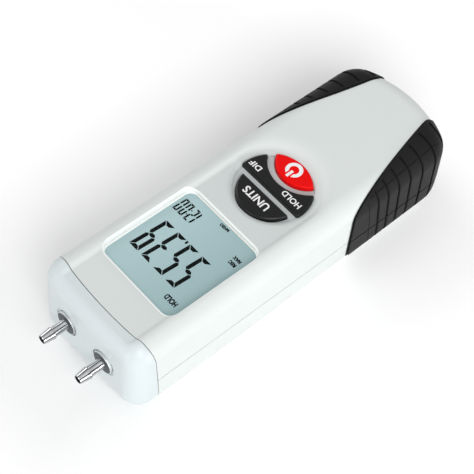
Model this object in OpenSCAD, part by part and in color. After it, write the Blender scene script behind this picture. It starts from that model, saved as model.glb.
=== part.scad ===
// Digital manometer: a hand-held case with two hose ports, a display and a round keypad.
// X is across the case, Y runs along it to the hose ports, Z points out of the display.
// The origin is under the middle of the whole part, on the flat of the rear cover.

/* [Case] */
// Length of the case without the hose ports
body_l = 212; // [200:1:240]
// Width of the case at the display
body_w = 72; // [68:0.5:84]
// Width of the case at the foot
foot_w = 70.4; // [66:0.2:84]
// Thickness of the case, over the front shoulders
body_t = 50; // [46:0.5:60]
// Height of the parting line between front and rear cover
seam_z = 22.8; // [20:0.2:28]
// Wall of the covers
wall = 2.2; // [1.8:0.1:2.8]
// Radius of the front shoulders
top_round = 10.4; // [8:0.2:10.8]
// Radius of the two case corners beside the ports, seen from the front
cap_corner_r = 11; // [10.9:0.1:14]
// Radius of the bowed end face beside the ports
cap_end_r = 440; // [300:10:900]
// Radius of the two corners at the foot, seen from the front
foot_corner_r = 20; // [19:0.5:24]
// Radius of the bowed foot
foot_end_r = 46; // [42:1:60]
// Radius of the rear edge at the port end
rear_round_cap = 9.5; // [7:0.5:10]
// Radius of the rear edge at the foot
rear_round_foot = 18; // [14:0.5:18.5]
// Slope of the side walls away from the parting line, in degrees
draft = 1; // [0:0.25:1.5]

/* [End cap] */
// Distance of the cap's parting line from the end face, on the centre line
cap_l = 11.6; // [10:0.2:14]
// Radius of the bow of that parting line
cap_bow_r = 245; // [180:5:400]
// Lean of that parting line towards the foot, in degrees
cap_lean = 4; // [0:0.5:5]

/* [Front panel] */
// Depth of the panel below the shoulders
panel_in = 1.9; // [1:0.1:2.2]
// Width of the panel at its floor
panel_w = 50.8; // [50:0.2:51.4]
// Run of the sloped panel edge
panel_slope = 1.6; // [1:0.1:1.8]
// Further run of that edge at the foot side of the keypad
panel_fade = 5; // [0:0.5:7]
// Height of the raised ring round the keypad
ring_up = 0.4; // [0.2:0.1:0.8]
// Width of that ring
ring_w = 2.6; // [1.6:0.2:3]

/* [Display] */
// Distance from each side of the case to the display window
window_side = 11.7; // [11.5:0.1:14]
// Height of the display window
window_h = 54.7; // [48:0.2:56]
// Corner radius of the display window
window_r = 4.6; // [3:0.2:6]
// Distance from the middle of the window to the end face
window_from_end = 56.8; // [54:0.2:60]
// Depth of the window pane below the panel
window_in = 1.2; // [0.8:0.1:1.4]
// Thickness of the window pane
pane_t = 1.5; // [1.2:0.1:1.8]
// Rim of the pane under the panel
pane_rim = 1.6; // [1.2:0.1:1.8]
// Thickness of the liquid crystal glass
lcd_t = 2.2; // [1.8:0.1:2.4]
// Thickness of the backlight panel
backlight_t = 1.8; // [1.4:0.1:2]

/* [Keypad] */
// Radius of the circle that all keys lie in
pad_r = 19.6; // [18.6:0.1:20]
// Distance from the middle of that circle to the end face
pad_from_end = 115.3; // [112:0.2:119]
// Distance of the straight edge of the units key above the middle
units_edge = 7.1; // [6:0.1:8]
// Distance of the straight edge of the rocker key above the middle
rocker_edge = 3.4; // [2.6:0.1:4]
// Radius of the arch cut out of the rocker key
arch_r = 20.8; // [19:0.1:23]
// Height of the top of that arch below the middle of the keypad
arch_drop = 2.3; // [1.5:0.1:3]
// Radius of the upper edge of the power key
power_r = 16.1; // [14:0.1:18]
// Height of the top of the power key below the middle of the keypad
power_drop = 5.8; // [5.2:0.1:6.4]
// Height of the keys above the panel
key_up = 1.3; // [1:0.1:1.8]
// Play between a key and its hole
key_gap = 0.25; // [0.15:0.05:0.35]
// Travel of the units and power keys
key_travel = 0.9; // [0.6:0.1:1]
// Tilt of the rocker key to each side, in degrees
rocker_tilt = 2.5; // [1.5:0.5:3]

/* [Hose ports] */
// Distance between the two ports
port_pitch = 27; // [24:0.5:30]
// Height of the port axes
port_z = 25.2; // [24.4:0.2:27]
// Length of a port outside the end face
barb_out = 14.5; // [12:0.5:18]
// Diameter of the bore
barb_bore = 2.6; // [2:0.1:3]
// Diameter of the tip
barb_tip_d = 4.2; // [3.8:0.1:4.6]
// Diameter over the barb
barb_d = 6.1; // [5.6:0.1:6.6]
// Diameter of the stem
barb_stem_d = 4.7; // [4.2:0.1:5]
// Length of the barb, from its tip to its step
barb_l = 6.2; // [5:0.2:8]
// Diameter of the recess round a port
recess_d = 12; // [11:0.2:13]
// Depth of that recess
recess_in = 1.6; // [1.2:0.1:2]

/* [Grips] */
// Distance from the top of the grips to the foot
grip_l = 76; // [70:1:80]
// Height of the grips above the covers
grip_up = 0.8; // [0.5:0.1:1]
// Depth of the grips in the covers
grip_in = 0.7; // [0.5:0.1:0.9]
// Radius of the inner edge of the grips, seen from the front
grip_edge_r = 325; // [250:5:500]
// Grooves in each grip
grooves = 7; // [3:1:7]
// Width of a groove
groove_w = 0.8; // [0.6:0.1:1]

/* [Battery] */
// Width of the block battery
battery_w = 26.2; // [25:0.1:26.5]
// Length of the block battery without its terminals
battery_l = 46; // [44:0.5:46.5]
// Thickness of the block battery
battery_t = 17; // [16:0.1:17.5]
// Width of the battery door
door_w = 33; // [31:0.5:34]
// Thickness of the battery door
door_t = 1.6; // [1.4:0.1:1.8]
// Travel of the battery door on its rails
door_travel = 55; // [54:0.5:58]

/* [Hidden] */

// Facets of full circles and of the large fillets
$fn = 64;
hull_fn = 32;
overrun = 1;
eps = 0.01;

// Places along the case
overall_l = body_l + barb_out;
foot_y = -overall_l / 2;
end_y = foot_y + body_l;
window_y = end_y - window_from_end;
window_w = body_w - 2 * window_side;
pad_y = end_y - pad_from_end;
cap_seam_y = end_y - cap_l;
grip_top_y = foot_y + grip_l;

// Heights
panel_z = body_t - panel_in;
panel_under_z = panel_z - wall;
pane_top_z = panel_z - window_in;
pane_under_z = pane_top_z - pane_t;
pane_fit = 0.1;
lcd_gap = 0.2;
board_t = 1.6;
board_z = pane_under_z - lcd_gap - lcd_t - backlight_t - board_t;
board_top_z = board_z + board_t;

// Outline of the case, as points with their outward normals
// Each point is [x, y, normal x, normal y]
end_steps = 3;
cap_corner_steps = 5;
foot_corner_steps = 6;
foot_steps = 5;
function arc_pts(cx, cy, r, a0, a1, n) =
  [for (i = [0:n]) let (a = a0 + (a1 - a0) * i / n)
    [cx + r * cos(a), cy + r * sin(a), cos(a), sin(a)]];
cap_cx = body_w / 2 - cap_corner_r;
cap_cy = end_y - cap_end_r + sqrt(pow(cap_end_r - cap_corner_r, 2) - pow(cap_cx, 2));
cap_a = atan2(cap_cy - end_y + cap_end_r, cap_cx);
foot_cx = foot_w / 2 - foot_corner_r;
foot_cy = foot_y + foot_end_r - sqrt(pow(foot_end_r - foot_corner_r, 2) - pow(foot_cx, 2));
foot_a = atan2(foot_y + foot_end_r - foot_cy, foot_cx);
right_half = concat(
  arc_pts(0, foot_y + foot_end_r, foot_end_r, -90, -foot_a, foot_steps),
  arc_pts(foot_cx, foot_cy, foot_corner_r, -foot_a + foot_a / foot_corner_steps, 0,
    foot_corner_steps - 1),
  arc_pts(cap_cx, cap_cy, cap_corner_r, 0, cap_a, cap_corner_steps),
  arc_pts(0, end_y - cap_end_r, cap_end_r, cap_a + (90 - cap_a) / end_steps, 90, end_steps - 1));
half_n = len(right_half);
left_half = [for (i = [half_n - 2:-1:1]) let (p = right_half[i]) [-p[0], p[1], -p[2], p[3]]];
outline = concat(right_half, left_half);

// Radius of the rear edge at a place along the case
function rear_r(y) = rear_round_foot
  + (rear_round_cap - rear_round_foot) * min(1, max(0, (y - foot_y) / (window_y - foot_y)));

// One ring of the lofted case: each outline point drawn in by a wall, a fillet and the draft
rear_steps = 5;
front_steps = 5;
function drawn(p, in, z) = [p[0] - p[2] * in, p[1] - p[3] * in, z];
function rear_ring(a, off, floor_z) = [for (p = outline)
  let (r = rear_r(p[1]) - off, z = floor_z + r * (1 - sin(a)))
  drawn(p, off + r * (1 - cos(a)) + tan(draft) * (seam_z - z), z)];
function front_ring(a, off, roof_z, r) = [for (p = outline)
  let (z = roof_z - r * (1 - sin(a)))
  drawn(p, off + r * (1 - cos(a)) + tan(draft) * (z - seam_z), z)];

// The case form, drawn in by off at the sides, between the heights of its floor and roof
// It may be only the half behind or in front of the parting line, run past it by over
module case_form(off, floor_z, roof_z, rear = true, front = true, over = 0) {
  roof_r = max(top_round - (body_t - roof_z), top_round / 4);
  rings = concat(
    rear ? [for (k = [0:rear_steps]) rear_ring(90 - 90 * k / rear_steps, off, floor_z)]
      : [parting_ring(off, seam_z - over)],
    rear && front ? [parting_ring(off, seam_z)] : [],
    front ? [for (k = [0:front_steps]) front_ring(90 * k / front_steps, off, roof_z, roof_r)]
      : [parting_ring(off, seam_z + over)]);
  n = len(outline);
  m = len(rings);
  points = [for (ring = rings) each ring];
  sides = [for (k = [0:m - 2], i = [0:n - 1])
    let (a = k * n + i, b = k * n + (i + 1) % n)
    each [[a, a + n, b + n], [a, b + n, b]]];
  bottom = [for (i = [0:n - 1]) i];
  top = [for (i = [n - 1:-1:0]) (m - 1) * n + i];
  polyhedron(points, concat([bottom, top], sides), convexity = 4);
}
function parting_ring(off, z) = [for (p = outline) drawn(p, off, z)];
module front_form(off, over = 0) case_form(off, 0, body_t - off, rear = false, over = over);
module rear_form(off, over = 0) case_form(off, off, 0, front = false, over = over);
// The hollow of the case, which is lower under the recessed panel
module front_hollow() case_form(wall, 0, panel_under_z, rear = false, over = overrun);
module rear_hollow() rear_form(wall, overrun);

// Everything on the port side of the cap's parting line, moved by a gap towards the ports
module cap_side(gap = 0) {
  reach = body_w + overrun;
  translate([0, cap_seam_y + gap, body_t / 2]) rotate([-cap_lean, 0, 0])
    linear_extrude(height = 2 * body_t, center = true)
      difference() {
        translate([-reach, -reach]) square([2 * reach, 2 * reach]);
        translate([0, -cap_bow_r]) circle(r = cap_bow_r, $fn = 180);
      }
}

// A rectangle with round corners, centred
module round_rect(w, h, r) {
  square([w - 2 * r, h], center = true);
  square([w, h - 2 * r], center = true);
  for (x = [-1, 1], y = [-1, 1]) translate([x * (w / 2 - r), y * (h / 2 - r)]) circle(r = r);
}

// A prism of a flat shape between two heights
module slab(z0, z1) translate([0, 0, z0]) linear_extrude(height = z1 - z0) children();

// Screw places
cover_screw_x = 25;
cover_screw_from_end = 18.5;
foot_screw_x = 22.5;
foot_screw_from_foot = 51;
cap_screw_x = 8;
cap_screw_from_seam = 7;
board_side = 6;
board_w = body_w - 2 * board_side;
board_boss_r = 2.5;
board_screw_x = board_w / 2 - board_boss_r - 0.5;
cover_screw_spots = [
  for (s = [-1, 1]) [s * cover_screw_x, end_y - cover_screw_from_end],
  for (s = [-1, 1]) [s * foot_screw_x, foot_y + foot_screw_from_foot]];
cap_screw_spots = [for (s = [-1, 1]) [s * cap_screw_x, cap_seam_y - cap_screw_from_seam]];
boss_r = 3.5;
screw_wall = 1.4;
// The bosses start inside the floor of the rear cover, at this share of its wall
boss_foot_share = 0.85;
boss_foot_z = wall * boss_foot_share;
screw_r = 1.5;
screw_head_r = 2.8;
screw_head_t = 2;
cover_screw_l = 18;
cover_head_z = 9;
thread_play = 0.05;
small_screw_r = 1.1;
small_head_r = 2;
small_head_t = 1.2;
small_screw_l = 5;

// Panel recess: straight beside the display and round below the keypad
module panel_plan(grow, fade) {
  r = panel_w / 2 + grow;
  translate([0, pad_y - fade]) circle(r = r);
  translate([-r, pad_y - fade]) square([2 * r, end_y - pad_y + fade + wall]);
}
module panel_recess() {
  hull() {
    slab(panel_z, panel_z + eps) panel_plan(0, 0, $fn = hull_fn);
    slab(body_t, body_t + overrun) panel_plan(panel_slope, panel_fade, $fn = hull_fn);
  }
}

// Key outlines: each grows or shrinks all round by the same amount
module units_plan(grow) translate([0, pad_y]) intersection() {
  circle(r = pad_r + grow);
  translate([-2 * pad_r, units_edge - grow]) square([4 * pad_r, 2 * pad_r]);
}
module rocker_plan(grow) translate([0, pad_y]) difference() {
  rocker_blank(grow);
  translate([0, -arch_drop - arch_r]) circle(r = arch_r - grow);
}
module rocker_blank(grow) intersection() {
  circle(r = pad_r + grow);
  translate([-2 * pad_r, rocker_edge + grow - 4 * pad_r]) square(4 * pad_r);
}
module power_plan(grow) translate([0, pad_y]) intersection() {
  circle(r = pad_r + grow);
  translate([0, -power_drop - power_r]) circle(r = power_r + grow);
}

// Shape of the keys above and below the panel
key_top_z = panel_z + key_up;
key_crown = 0.8;
key_crown_in = 0.6;
key_flange = 0.8;
key_flange_t = 1;
key_flange_z = panel_under_z - key_flange_t;
axle_play = 0.06;
rocker_drop = tan(rocker_tilt) * (pad_r + key_flange) + 4 * axle_play;
rocker_flange_z = key_flange_z - rocker_drop;
rocker_pivot_z = rocker_flange_z + key_flange_t / 2;
rocker_axle_r = 1;
axle_lug_l = 1.6;
rib_t = 1.2;
rib_w = 4;
rib_foot = 0.75;
rib_low_z = rocker_pivot_z - rocker_axle_r - axle_play - rib_foot;
mat_t = 1;
dome_z = board_top_z + mat_t;
dome_r = 4.2;
dome_top_r = 2;
dome_wall = 0.5;
// Each dome as [x, y, height of the key flange over it, way of its contact to the board]
dome_spots = [
  [0, pad_y + (units_edge + pad_r) / 2 - 1, key_flange_z, key_travel],
  [pad_r * 0.6, pad_y - pad_r * 0.16, rocker_flange_z, pad_r * 0.6 * tan(rocker_tilt)],
  [-pad_r * 0.6, pad_y - pad_r * 0.16, rocker_flange_z, pad_r * 0.6 * tan(rocker_tilt)],
  [0, pad_y - (power_drop + pad_r) / 2, key_flange_z, key_travel]];

// Front cover
module front_cover() {
  color("#E3EAE8") difference() {
    union() {
      difference() {
        front_form(0);
        front_hollow();
        cap_side();
        panel_recess();
        grip_pocket() front_form(grip_in, overrun);
      }
      keypad_ring();
      front_bosses();
    }
    window_cuts();
    slab(panel_under_z - overrun, body_t) units_plan(key_gap);
    slab(panel_under_z - overrun, body_t) rocker_plan(key_gap);
    slab(panel_under_z - overrun, body_t) power_plan(key_gap);
    for (p = cover_screw_spots) translate([p[0], p[1], seam_z - overrun])
      cylinder(r = screw_r + thread_play,
        h = overrun + cover_head_z + screw_head_t + cover_screw_l - seam_z + thread_play);
    for (p = front_board_spots) translate([p[0], p[1], board_top_z - overrun])
      cylinder(r = small_screw_r + thread_play, h = overrun + small_screw_l - board_t + thread_play);
  }
}
front_board_spots = [
  for (s = [-1, 1]) [s * board_screw_x, window_y - window_h / 2 - pane_rim - 2 * board_boss_r],
  for (s = [-1, 1]) [s * board_screw_x, pad_y - pad_r + board_boss_r]];
module keypad_ring() slab(panel_z - eps, panel_z + ring_up) translate([0, pad_y]) difference() {
  circle(r = pad_r + key_gap + ring_w);
  circle(r = pad_r + key_gap);
}
module front_bosses() {
  for (p = cover_screw_spots) translate([p[0], p[1], seam_z])
    cylinder(r = boss_r, h = panel_under_z - seam_z + eps);
  for (p = front_board_spots) translate([p[0], p[1], board_top_z])
    cylinder(r = board_boss_r, h = panel_under_z - board_top_z + eps);
  for (y = rocker_rib_spots) difference() {
    translate([-rib_w / 2, y - rib_t / 2, rib_low_z])
      cube([rib_w, rib_t, panel_under_z - rib_low_z + eps]);
    translate([0, y, rocker_pivot_z]) rotate([90, 0, 0])
      cylinder(r = rocker_axle_r + axle_play, h = 2 * rib_t, center = true);
  }
}
rocker_mid_y = pad_y + (rocker_edge - arch_drop) / 2;
rocker_rib_y = (rocker_edge + arch_drop) / 2 + key_flange + axle_lug_l / 2 + axle_play;
rocker_rib_spots = [for (s = [-1, 1]) rocker_mid_y + s * rocker_rib_y];
module window_cuts() translate([0, window_y]) {
  slab(panel_under_z - overrun, body_t) round_rect(window_w, window_h, window_r);
  slab(panel_under_z - overrun, pane_top_z)
    round_rect(window_w + 2 * pane_rim, window_h + 2 * pane_rim, window_r);
}

// Rear cover
well_play = 0.3;
well_wall = 1.5;
terminal_up = 2.9;
contact_room = 2.6;
door_flange = 1.4;
door_flange_t = 1.2;
door_play = 0.15;
door_from_foot = 10;
door_hold = 7.5;
door_l = door_travel + door_hold;
door_y = foot_y + door_from_foot;
battery_z = door_t + door_flange_t + door_play;
battery_y = door_y + door_hold;
well_l = battery_l + terminal_up + contact_room;
well_top_z = battery_z + battery_t + well_play;
module rear_cover() {
  color("#E3EAE8") difference() {
    union() {
      difference() {
        rear_form(0);
        rear_hollow();
        cap_side();
        grip_pocket() case_form(grip_in, 0, 0, front = false, over = overrun);
      }
      rear_bosses();
      battery_well();
    }
    door_channel();
    well_room();
    for (p = cover_screw_spots) translate([p[0], p[1], -overrun]) {
      cylinder(r = screw_head_r + 4 * thread_play, h = overrun + cover_head_z + screw_head_t);
      cylinder(r = screw_r + 2 * thread_play, h = 2 * seam_z);
    }
    for (p = cap_screw_spots) translate([p[0], p[1], -overrun]) {
      cylinder(r = small_head_r + 2 * thread_play, h = overrun + small_head_t);
      cylinder(r = small_screw_r + 2 * thread_play, h = overrun + 2 * wall);
    }
    for (p = sensor_post_spots) translate([p[0], p[1], sensor_board_z - small_screw_l])
      cylinder(r = small_screw_r + thread_play, h = small_screw_l + overrun);
  }
}
module rear_bosses() {
  for (p = cover_screw_spots) translate([p[0], p[1], boss_foot_z])
    cylinder(r = screw_head_r + screw_wall, h = seam_z - boss_foot_z);
  for (p = sensor_post_spots) translate([p[0], p[1], boss_foot_z])
    cylinder(r = board_boss_r, h = sensor_board_z - boss_foot_z);
}
module battery_well()
  translate([-battery_w / 2 - well_play - well_wall, battery_y - well_play - well_wall, boss_foot_z])
    cube([battery_w + 2 * (well_play + well_wall), well_l + well_play + 2 * well_wall,
      well_top_z + well_wall - boss_foot_z]);
module well_room() {
  translate([-battery_w / 2 - well_play, battery_y - well_play, -overrun])
    cube([battery_w + 2 * well_play, well_l + well_play, well_top_z + overrun]);
  translate([-battery_w / 2 - well_play, battery_y + battery_l + well_play, wall])
    cube([battery_w + 2 * well_play, well_l - battery_l - well_play, seam_z]);
}
module door_channel() {
  translate([-door_w / 2 - door_play, foot_y - overrun, -overrun])
    cube([door_w + 2 * door_play, door_y + door_l + door_play - foot_y + overrun,
      door_t + door_play + overrun]);
  translate([-door_w / 2 - door_flange - door_play, foot_y - overrun, door_t - door_play])
    cube([door_w + 2 * (door_flange + door_play), door_y + door_l + door_play - foot_y + overrun,
      door_flange_t + 2 * door_play]);
}

// Battery door: a plate with rails at its sides that slides out over the foot
door_ribs = 6;
door_rib_pitch = 2.4;
door_rib_w = 1;
door_rib_in = 0.5;
module battery_door() color("#DDE4E2") difference() {
  intersection() {
    union() {
      translate([-door_w / 2, door_y, -overrun]) cube([door_w, door_l, door_t + overrun + eps]);
      translate([-door_w / 2 - door_flange, door_y, door_t])
        cube([door_w + 2 * door_flange, door_l, door_flange_t]);
    }
    rear_form(0);
  }
  for (i = [0:door_ribs - 1])
    translate([-door_w / 4, battery_y + i * door_rib_pitch, -overrun])
      cube([door_w / 2, door_rib_w, door_rib_in + overrun]);
}

// End cap with the two port recesses
cap_lug_l = 13;
cap_lug_w = 26;
cap_lug_t = 4;
seal_groove = 0.6;
module end_cap() {
  color("#D9E2E5") difference() {
    union() {
      difference() {
        case_form(0, 0, body_t);
        case_form(wall, wall, panel_under_z);
        complement_of_cap();
        panel_recess();
      }
      cap_lug();
      for (s = [-1, 1]) port_bush(s);
    }
    for (s = [-1, 1]) translate([s * port_pitch / 2, 0, port_z]) rotate([-90, 0, 0]) {
      translate([0, 0, port_face_y]) cylinder(d = recess_d, h = end_y - port_face_y + overrun);
      cylinder(r = port_hole_r, h = end_y);
    }
    for (p = cap_screw_spots) translate([p[0], p[1], wall - overrun])
      cylinder(r = small_screw_r + thread_play, h = cap_lug_t);
  }
}
port_hole_r = 3.1;
port_face_y = end_y - recess_in;
port_wall = 2.4;
port_bush_r = 7.4;
port_inner_y = port_face_y - port_wall;
module port_bush(s) translate([s * port_pitch / 2, port_inner_y, port_z]) rotate([-90, 0, 0])
  cylinder(r = port_bush_r, h = end_y - wall / 2 - port_inner_y);
module complement_of_cap() difference() {
  translate([-body_w, -overall_l, -body_t]) cube([2 * body_w, 2 * overall_l, 3 * body_t]);
  cap_side();
}
module cap_lug() {
  lug_y = cap_seam_y - cap_lug_l;
  lug_end_y = end_y - 2 * rear_round_cap / 3;
  translate([-cap_lug_w / 2, lug_y, wall]) cube([cap_lug_w, lug_end_y - lug_y, cap_lug_t]);
  intersection() {
    translate([-cap_lug_w / 2, lug_y, wall / 2])
      cube([cap_lug_w, lug_end_y - lug_y, cap_lug_t + wall / 2]);
    cap_side(cap_screw_from_seam / 2);
  }
}

// Grips: pads in shallow pockets, on the front and rear covers
grip_edge_x = 19.4;
grip_edge_top_x = 35.2;
grip_floor_z = 5;
grip_play = 0.05;
grip_edge_steps = 12;
groove_pitch = 8.3;
groove_first = 16;
groove_fan = 1.6;
groove_in = 0.5;
groove_lean_first = 7;
groove_margin = 1.8;
edge_run = grip_edge_top_x - grip_edge_x;
edge_foot_y = foot_y + foot_corner_r * 0.78;
edge_len = norm([edge_run, grip_top_y - edge_foot_y]);
edge_sag = grip_edge_r - sqrt(pow(grip_edge_r, 2) - pow(edge_len / 2, 2));
// Inner edge of the right grip, from the foot to its top, bulging towards the middle
function grip_edge(in) = [for (i = [0:grip_edge_steps])
  let (t = i / grip_edge_steps, b = 4 * edge_sag * t * (1 - t))
  [grip_edge_x + edge_run * t - b + in, edge_foot_y + (grip_top_y - edge_foot_y) * t]];
module grip_plan(s, in) {
  far = body_w;
  edge = grip_edge(in);
  last = len(edge) - 1;
  polygon([for (p = concat([[far, foot_y - overrun], [edge[0][0], foot_y - overrun]], edge,
    [[edge[last][0], grip_top_y - in], [far, grip_top_y - in]])) [s * p[0], p[1]]]);
}
module grip_pocket() for (s = [-1, 1]) difference() {
  slab(grip_floor_z, body_t + 2 * overrun) grip_plan(s, 0);
  children();
}
module groove_slots(s) intersection() {
  slab(0, body_t + 2 * overrun) grip_plan(s, groove_margin);
  union() for (i = [0:grooves - 1])
    translate([0, grip_top_y - groove_first - i * groove_pitch, seam_z])
      rotate([-groove_lean_first + i * groove_fan, 0, 0])
        cube([2 * body_w, groove_w, 3 * body_t], center = true);
}
module front_grip(s) color("#2E2F31") difference() {
  intersection() {
    front_form(-grip_up);
    slab(seam_z - overrun, body_t + 2 * overrun) grip_plan(s, grip_play);
  }
  front_form(grip_in, overrun);
  difference() {
    groove_slots(s);
    front_form(groove_in - grip_up, overrun);
  }
}
module rear_grip(s) color("#2E2F31") difference() {
  intersection() {
    rear_form(-grip_up);
    slab(grip_floor_z + grip_play, seam_z + overrun) grip_plan(s, grip_play);
  }
  case_form(grip_in, 0, 0, front = false, over = overrun);
  difference() {
    groove_slots(s);
    rear_form(groove_in - grip_up, overrun);
  }
}
module left_front_grip() front_grip(-1);
module right_front_grip() front_grip(1);
module left_rear_grip() rear_grip(-1);
module right_rear_grip() rear_grip(1);

// Display stack
glass_over = 0.8;
frame_wall = 1.3;
frame_play = 0.1;
strip_w = 2.2;
strip_in = 0.4;
glass_w = window_w + 2 * glass_over;
glass_h = window_h + 2 * glass_over;
glass_z = board_top_z + backlight_t;
module display_pane() color("#A2BEC2", 0.5) translate([0, window_y])
  slab(pane_under_z, pane_top_z) round_rect(window_w + 2 * (pane_rim - pane_fit),
    window_h + 2 * (pane_rim - pane_fit), window_r - pane_fit);
module lcd_glass() color("#8FAEB2") translate([0, window_y])
  slab(glass_z, glass_z + lcd_t) square([glass_w, glass_h], center = true);
module display_frame() color("#EDEDE8") translate([0, window_y]) difference() {
  slab(board_top_z, pane_under_z)
    square([glass_w + 2 * (frame_play + frame_wall), glass_h + 2 * (frame_play + frame_wall)],
      center = true);
  slab(board_top_z - overrun, pane_under_z + overrun)
    square([glass_w + 2 * frame_play, glass_h + 2 * frame_play], center = true);
}
module backlight() color("#F2F4EE") translate([0, window_y])
  slab(board_top_z, glass_z)
    square([glass_w, glass_h - 2 * (strip_w + 2 * strip_in)], center = true);
module lcd_connectors() color("#3A3A3C") for (s = [-1, 1])
  translate([0, window_y + s * (glass_h / 2 - strip_in - strip_w / 2)])
    slab(board_top_z, glass_z) square([glass_w - 2 * strip_w, strip_w], center = true);

// Keys
nub_r = 1.6;
module key_body(flange_z) {
  hull() {
    slab(key_top_z - key_crown, key_top_z - key_crown + eps) children(0);
    slab(key_top_z - eps, key_top_z) children(1);
  }
  slab(flange_z, key_top_z - key_crown + eps) children(0);
}
module key_foot(flange_z) slab(flange_z, flange_z + key_flange_t) children();
module nub(i) translate([dome_spots[i][0], dome_spots[i][1], dome_z + dome_h(i)])
  cylinder(r = nub_r, h = dome_spots[i][2] - dome_z - dome_h(i) + eps);
function dome_h(i) = dome_spots[i][2] - dome_z - nub_h;
nub_h = 0.3;
module units_key() color("#303133") {
  key_body(key_flange_z) {
    units_plan(0, $fn = hull_fn * 2);
    units_plan(-key_crown_in, $fn = hull_fn * 2);
  }
  key_foot(key_flange_z) units_plan(key_flange);
  nub(0);
}
module power_key() color("#E8201E") {
  key_body(key_flange_z) {
    power_plan(0, $fn = hull_fn * 2);
    power_plan(-key_crown_in, $fn = hull_fn * 2);
  }
  key_foot(key_flange_z) power_plan(key_flange);
  nub(3);
}
module rocker_key() color("#303133") {
  difference() {
    key_body(rocker_flange_z) {
      translate([0, pad_y]) rocker_blank(0, $fn = hull_fn * 2);
      translate([0, pad_y]) rocker_blank(-key_crown_in, $fn = hull_fn * 2);
    }
    translate([0, pad_y - arch_drop - arch_r, rocker_flange_z - overrun])
      cylinder(r = arch_r, h = body_t, $fn = 128);
  }
  key_foot(rocker_flange_z) rocker_plan(key_flange);
  nub(1);
  nub(2);
  translate([0, rocker_mid_y, rocker_pivot_z]) rotate([90, 0, 0])
    cylinder(r = rocker_axle_r, h = 2 * rocker_rib_y + rib_t, center = true);
}

// Silicone keypad mat with its collapsible domes
mat_edge = 2;
mat_play = 0.3;
dome_hole_r = dome_r + 0.3;
module keypad_mat() color("#B9BDBB") slab(board_top_z, dome_z) difference() {
  translate([0, pad_y]) circle(r = pad_r + mat_edge);
  for (p = front_board_spots) translate([p[0], p[1]]) circle(r = board_boss_r + mat_play);
  for (d = dome_spots) translate([d[0], d[1]]) circle(r = dome_hole_r);
}
module key_domes() color("#C9CDCB") for (i = [0:len(dome_spots) - 1])
  translate([dome_spots[i][0], dome_spots[i][1], board_top_z + pad_t]) {
    h = dome_h(i) + mat_t - pad_t;
    way = dome_spots[i][3];
    pill_r = dome_top_r - dome_wall;
    rotate_extrude() polygon([
      [dome_r - dome_wall, 0], [dome_r, 0], [dome_r, mat_t], [dome_top_r, h], [0, h],
      [0, way], [pill_r - dome_wall, way], [pill_r, h - dome_wall], [dome_r - dome_wall, mat_t]]);
  }

// Boards and what is soldered on them
pad_t = 0.1;
pad_out_r = 3;
board_from_seam = 12;
board_y1 = cap_seam_y - board_from_seam;
board_y0 = pad_y - pad_r - mat_edge - 1.5;
module main_board() color("#2F6B43") difference() {
  translate([-board_w / 2, board_y0, board_z]) cube([board_w, board_y1 - board_y0, board_t]);
  for (p = front_board_spots) translate([p[0], p[1], board_z - overrun])
    cylinder(r = small_screw_r + thread_play, h = board_t + 2 * overrun);
}
module contact_pads() color("#C9A24A") for (d = dome_spots)
  translate([d[0], d[1], board_top_z]) cylinder(r = pad_out_r, h = pad_t);
chip_t = 1.6;
buzzer_r = 5;
buzzer_h = 4.5;
can_r = 2.5;
can_h = 6;
module chip(x, y, w, l) translate([x - w / 2, y - l / 2, board_z - chip_t]) cube([w, l, chip_t]);
chip_w = 12;
module board_chips() color("#26272A") {
  chip(0, window_y - chip_w, chip_w, chip_w);
  chip(-1.5 * chip_w, window_y - chip_w, chip_w * 0.8, chip_w * 0.8);
  chip(1.5 * chip_w, window_y - chip_w / 2, chip_w / 2, chip_w);
  translate([-chip_w, pad_y, board_z - buzzer_h]) cylinder(r = buzzer_r, h = buzzer_h);
  for (s = [0, 1]) translate([chip_w + s * 3 * can_r, pad_y, board_z - can_h])
    cylinder(r = can_r, h = can_h);
}

// Pressure sensor on its own board, in line with the ports
sensor_board_l = 28;
sensor_board_z = 15;
sensor_board_y = window_y + window_h / 2 - sensor_board_l;
sensor_post_in = 3.5;
spigot_r = 1.7;
sensor_side = 2.5;
sensor_w = port_pitch + 2 * (spigot_r + sensor_side);
sensor_board_w = sensor_w + 4 * sensor_post_in;
sensor_l = 16;
sensor_h = 14;
sensor_y = sensor_board_y + sensor_board_l - sensor_l - 2;
spigot_l = 6;
tube_r = 3;
tube_end_gap = 0.6;
sensor_post_spots = [for (x = [-1, 1], y = [0, 1])
  [x * (sensor_board_w / 2 - sensor_post_in),
    sensor_board_y + sensor_post_in + y * (sensor_board_l - 2 * sensor_post_in)]];
module sensor_board() color("#2F6B43") difference() {
  translate([-sensor_board_w / 2, sensor_board_y, sensor_board_z])
    cube([sensor_board_w, sensor_board_l, board_t]);
  for (p = sensor_post_spots) translate([p[0], p[1], sensor_board_z - overrun])
    cylinder(r = small_screw_r + thread_play, h = board_t + 2 * overrun);
}
header_w = 20;
header_l = 2.5;
module board_header() color("#2A2A2C")
  translate([-header_w / 2, sensor_board_y + header_l, sensor_board_z + board_t])
    cube([header_w, header_l, board_z - sensor_board_z - board_t]);
module pressure_sensor() color("#D8D4C8") difference() {
  union() {
    translate([-sensor_w / 2, sensor_y, sensor_board_z + board_t])
      cube([sensor_w, sensor_l, sensor_h]);
    for (s = [-1, 1]) sensor_spigot(s, spigot_r, spigot_l + eps, -eps);
  }
  for (s = [-1, 1]) sensor_spigot(s, spigot_r / 2, spigot_l + 2 * overrun, -overrun);
}
module sensor_spigot(s, r, h, from) translate([s * port_pitch / 2, sensor_y + sensor_l + from, port_z])
  rotate([-90, 0, 0]) cylinder(r = r, h = h);
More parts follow.
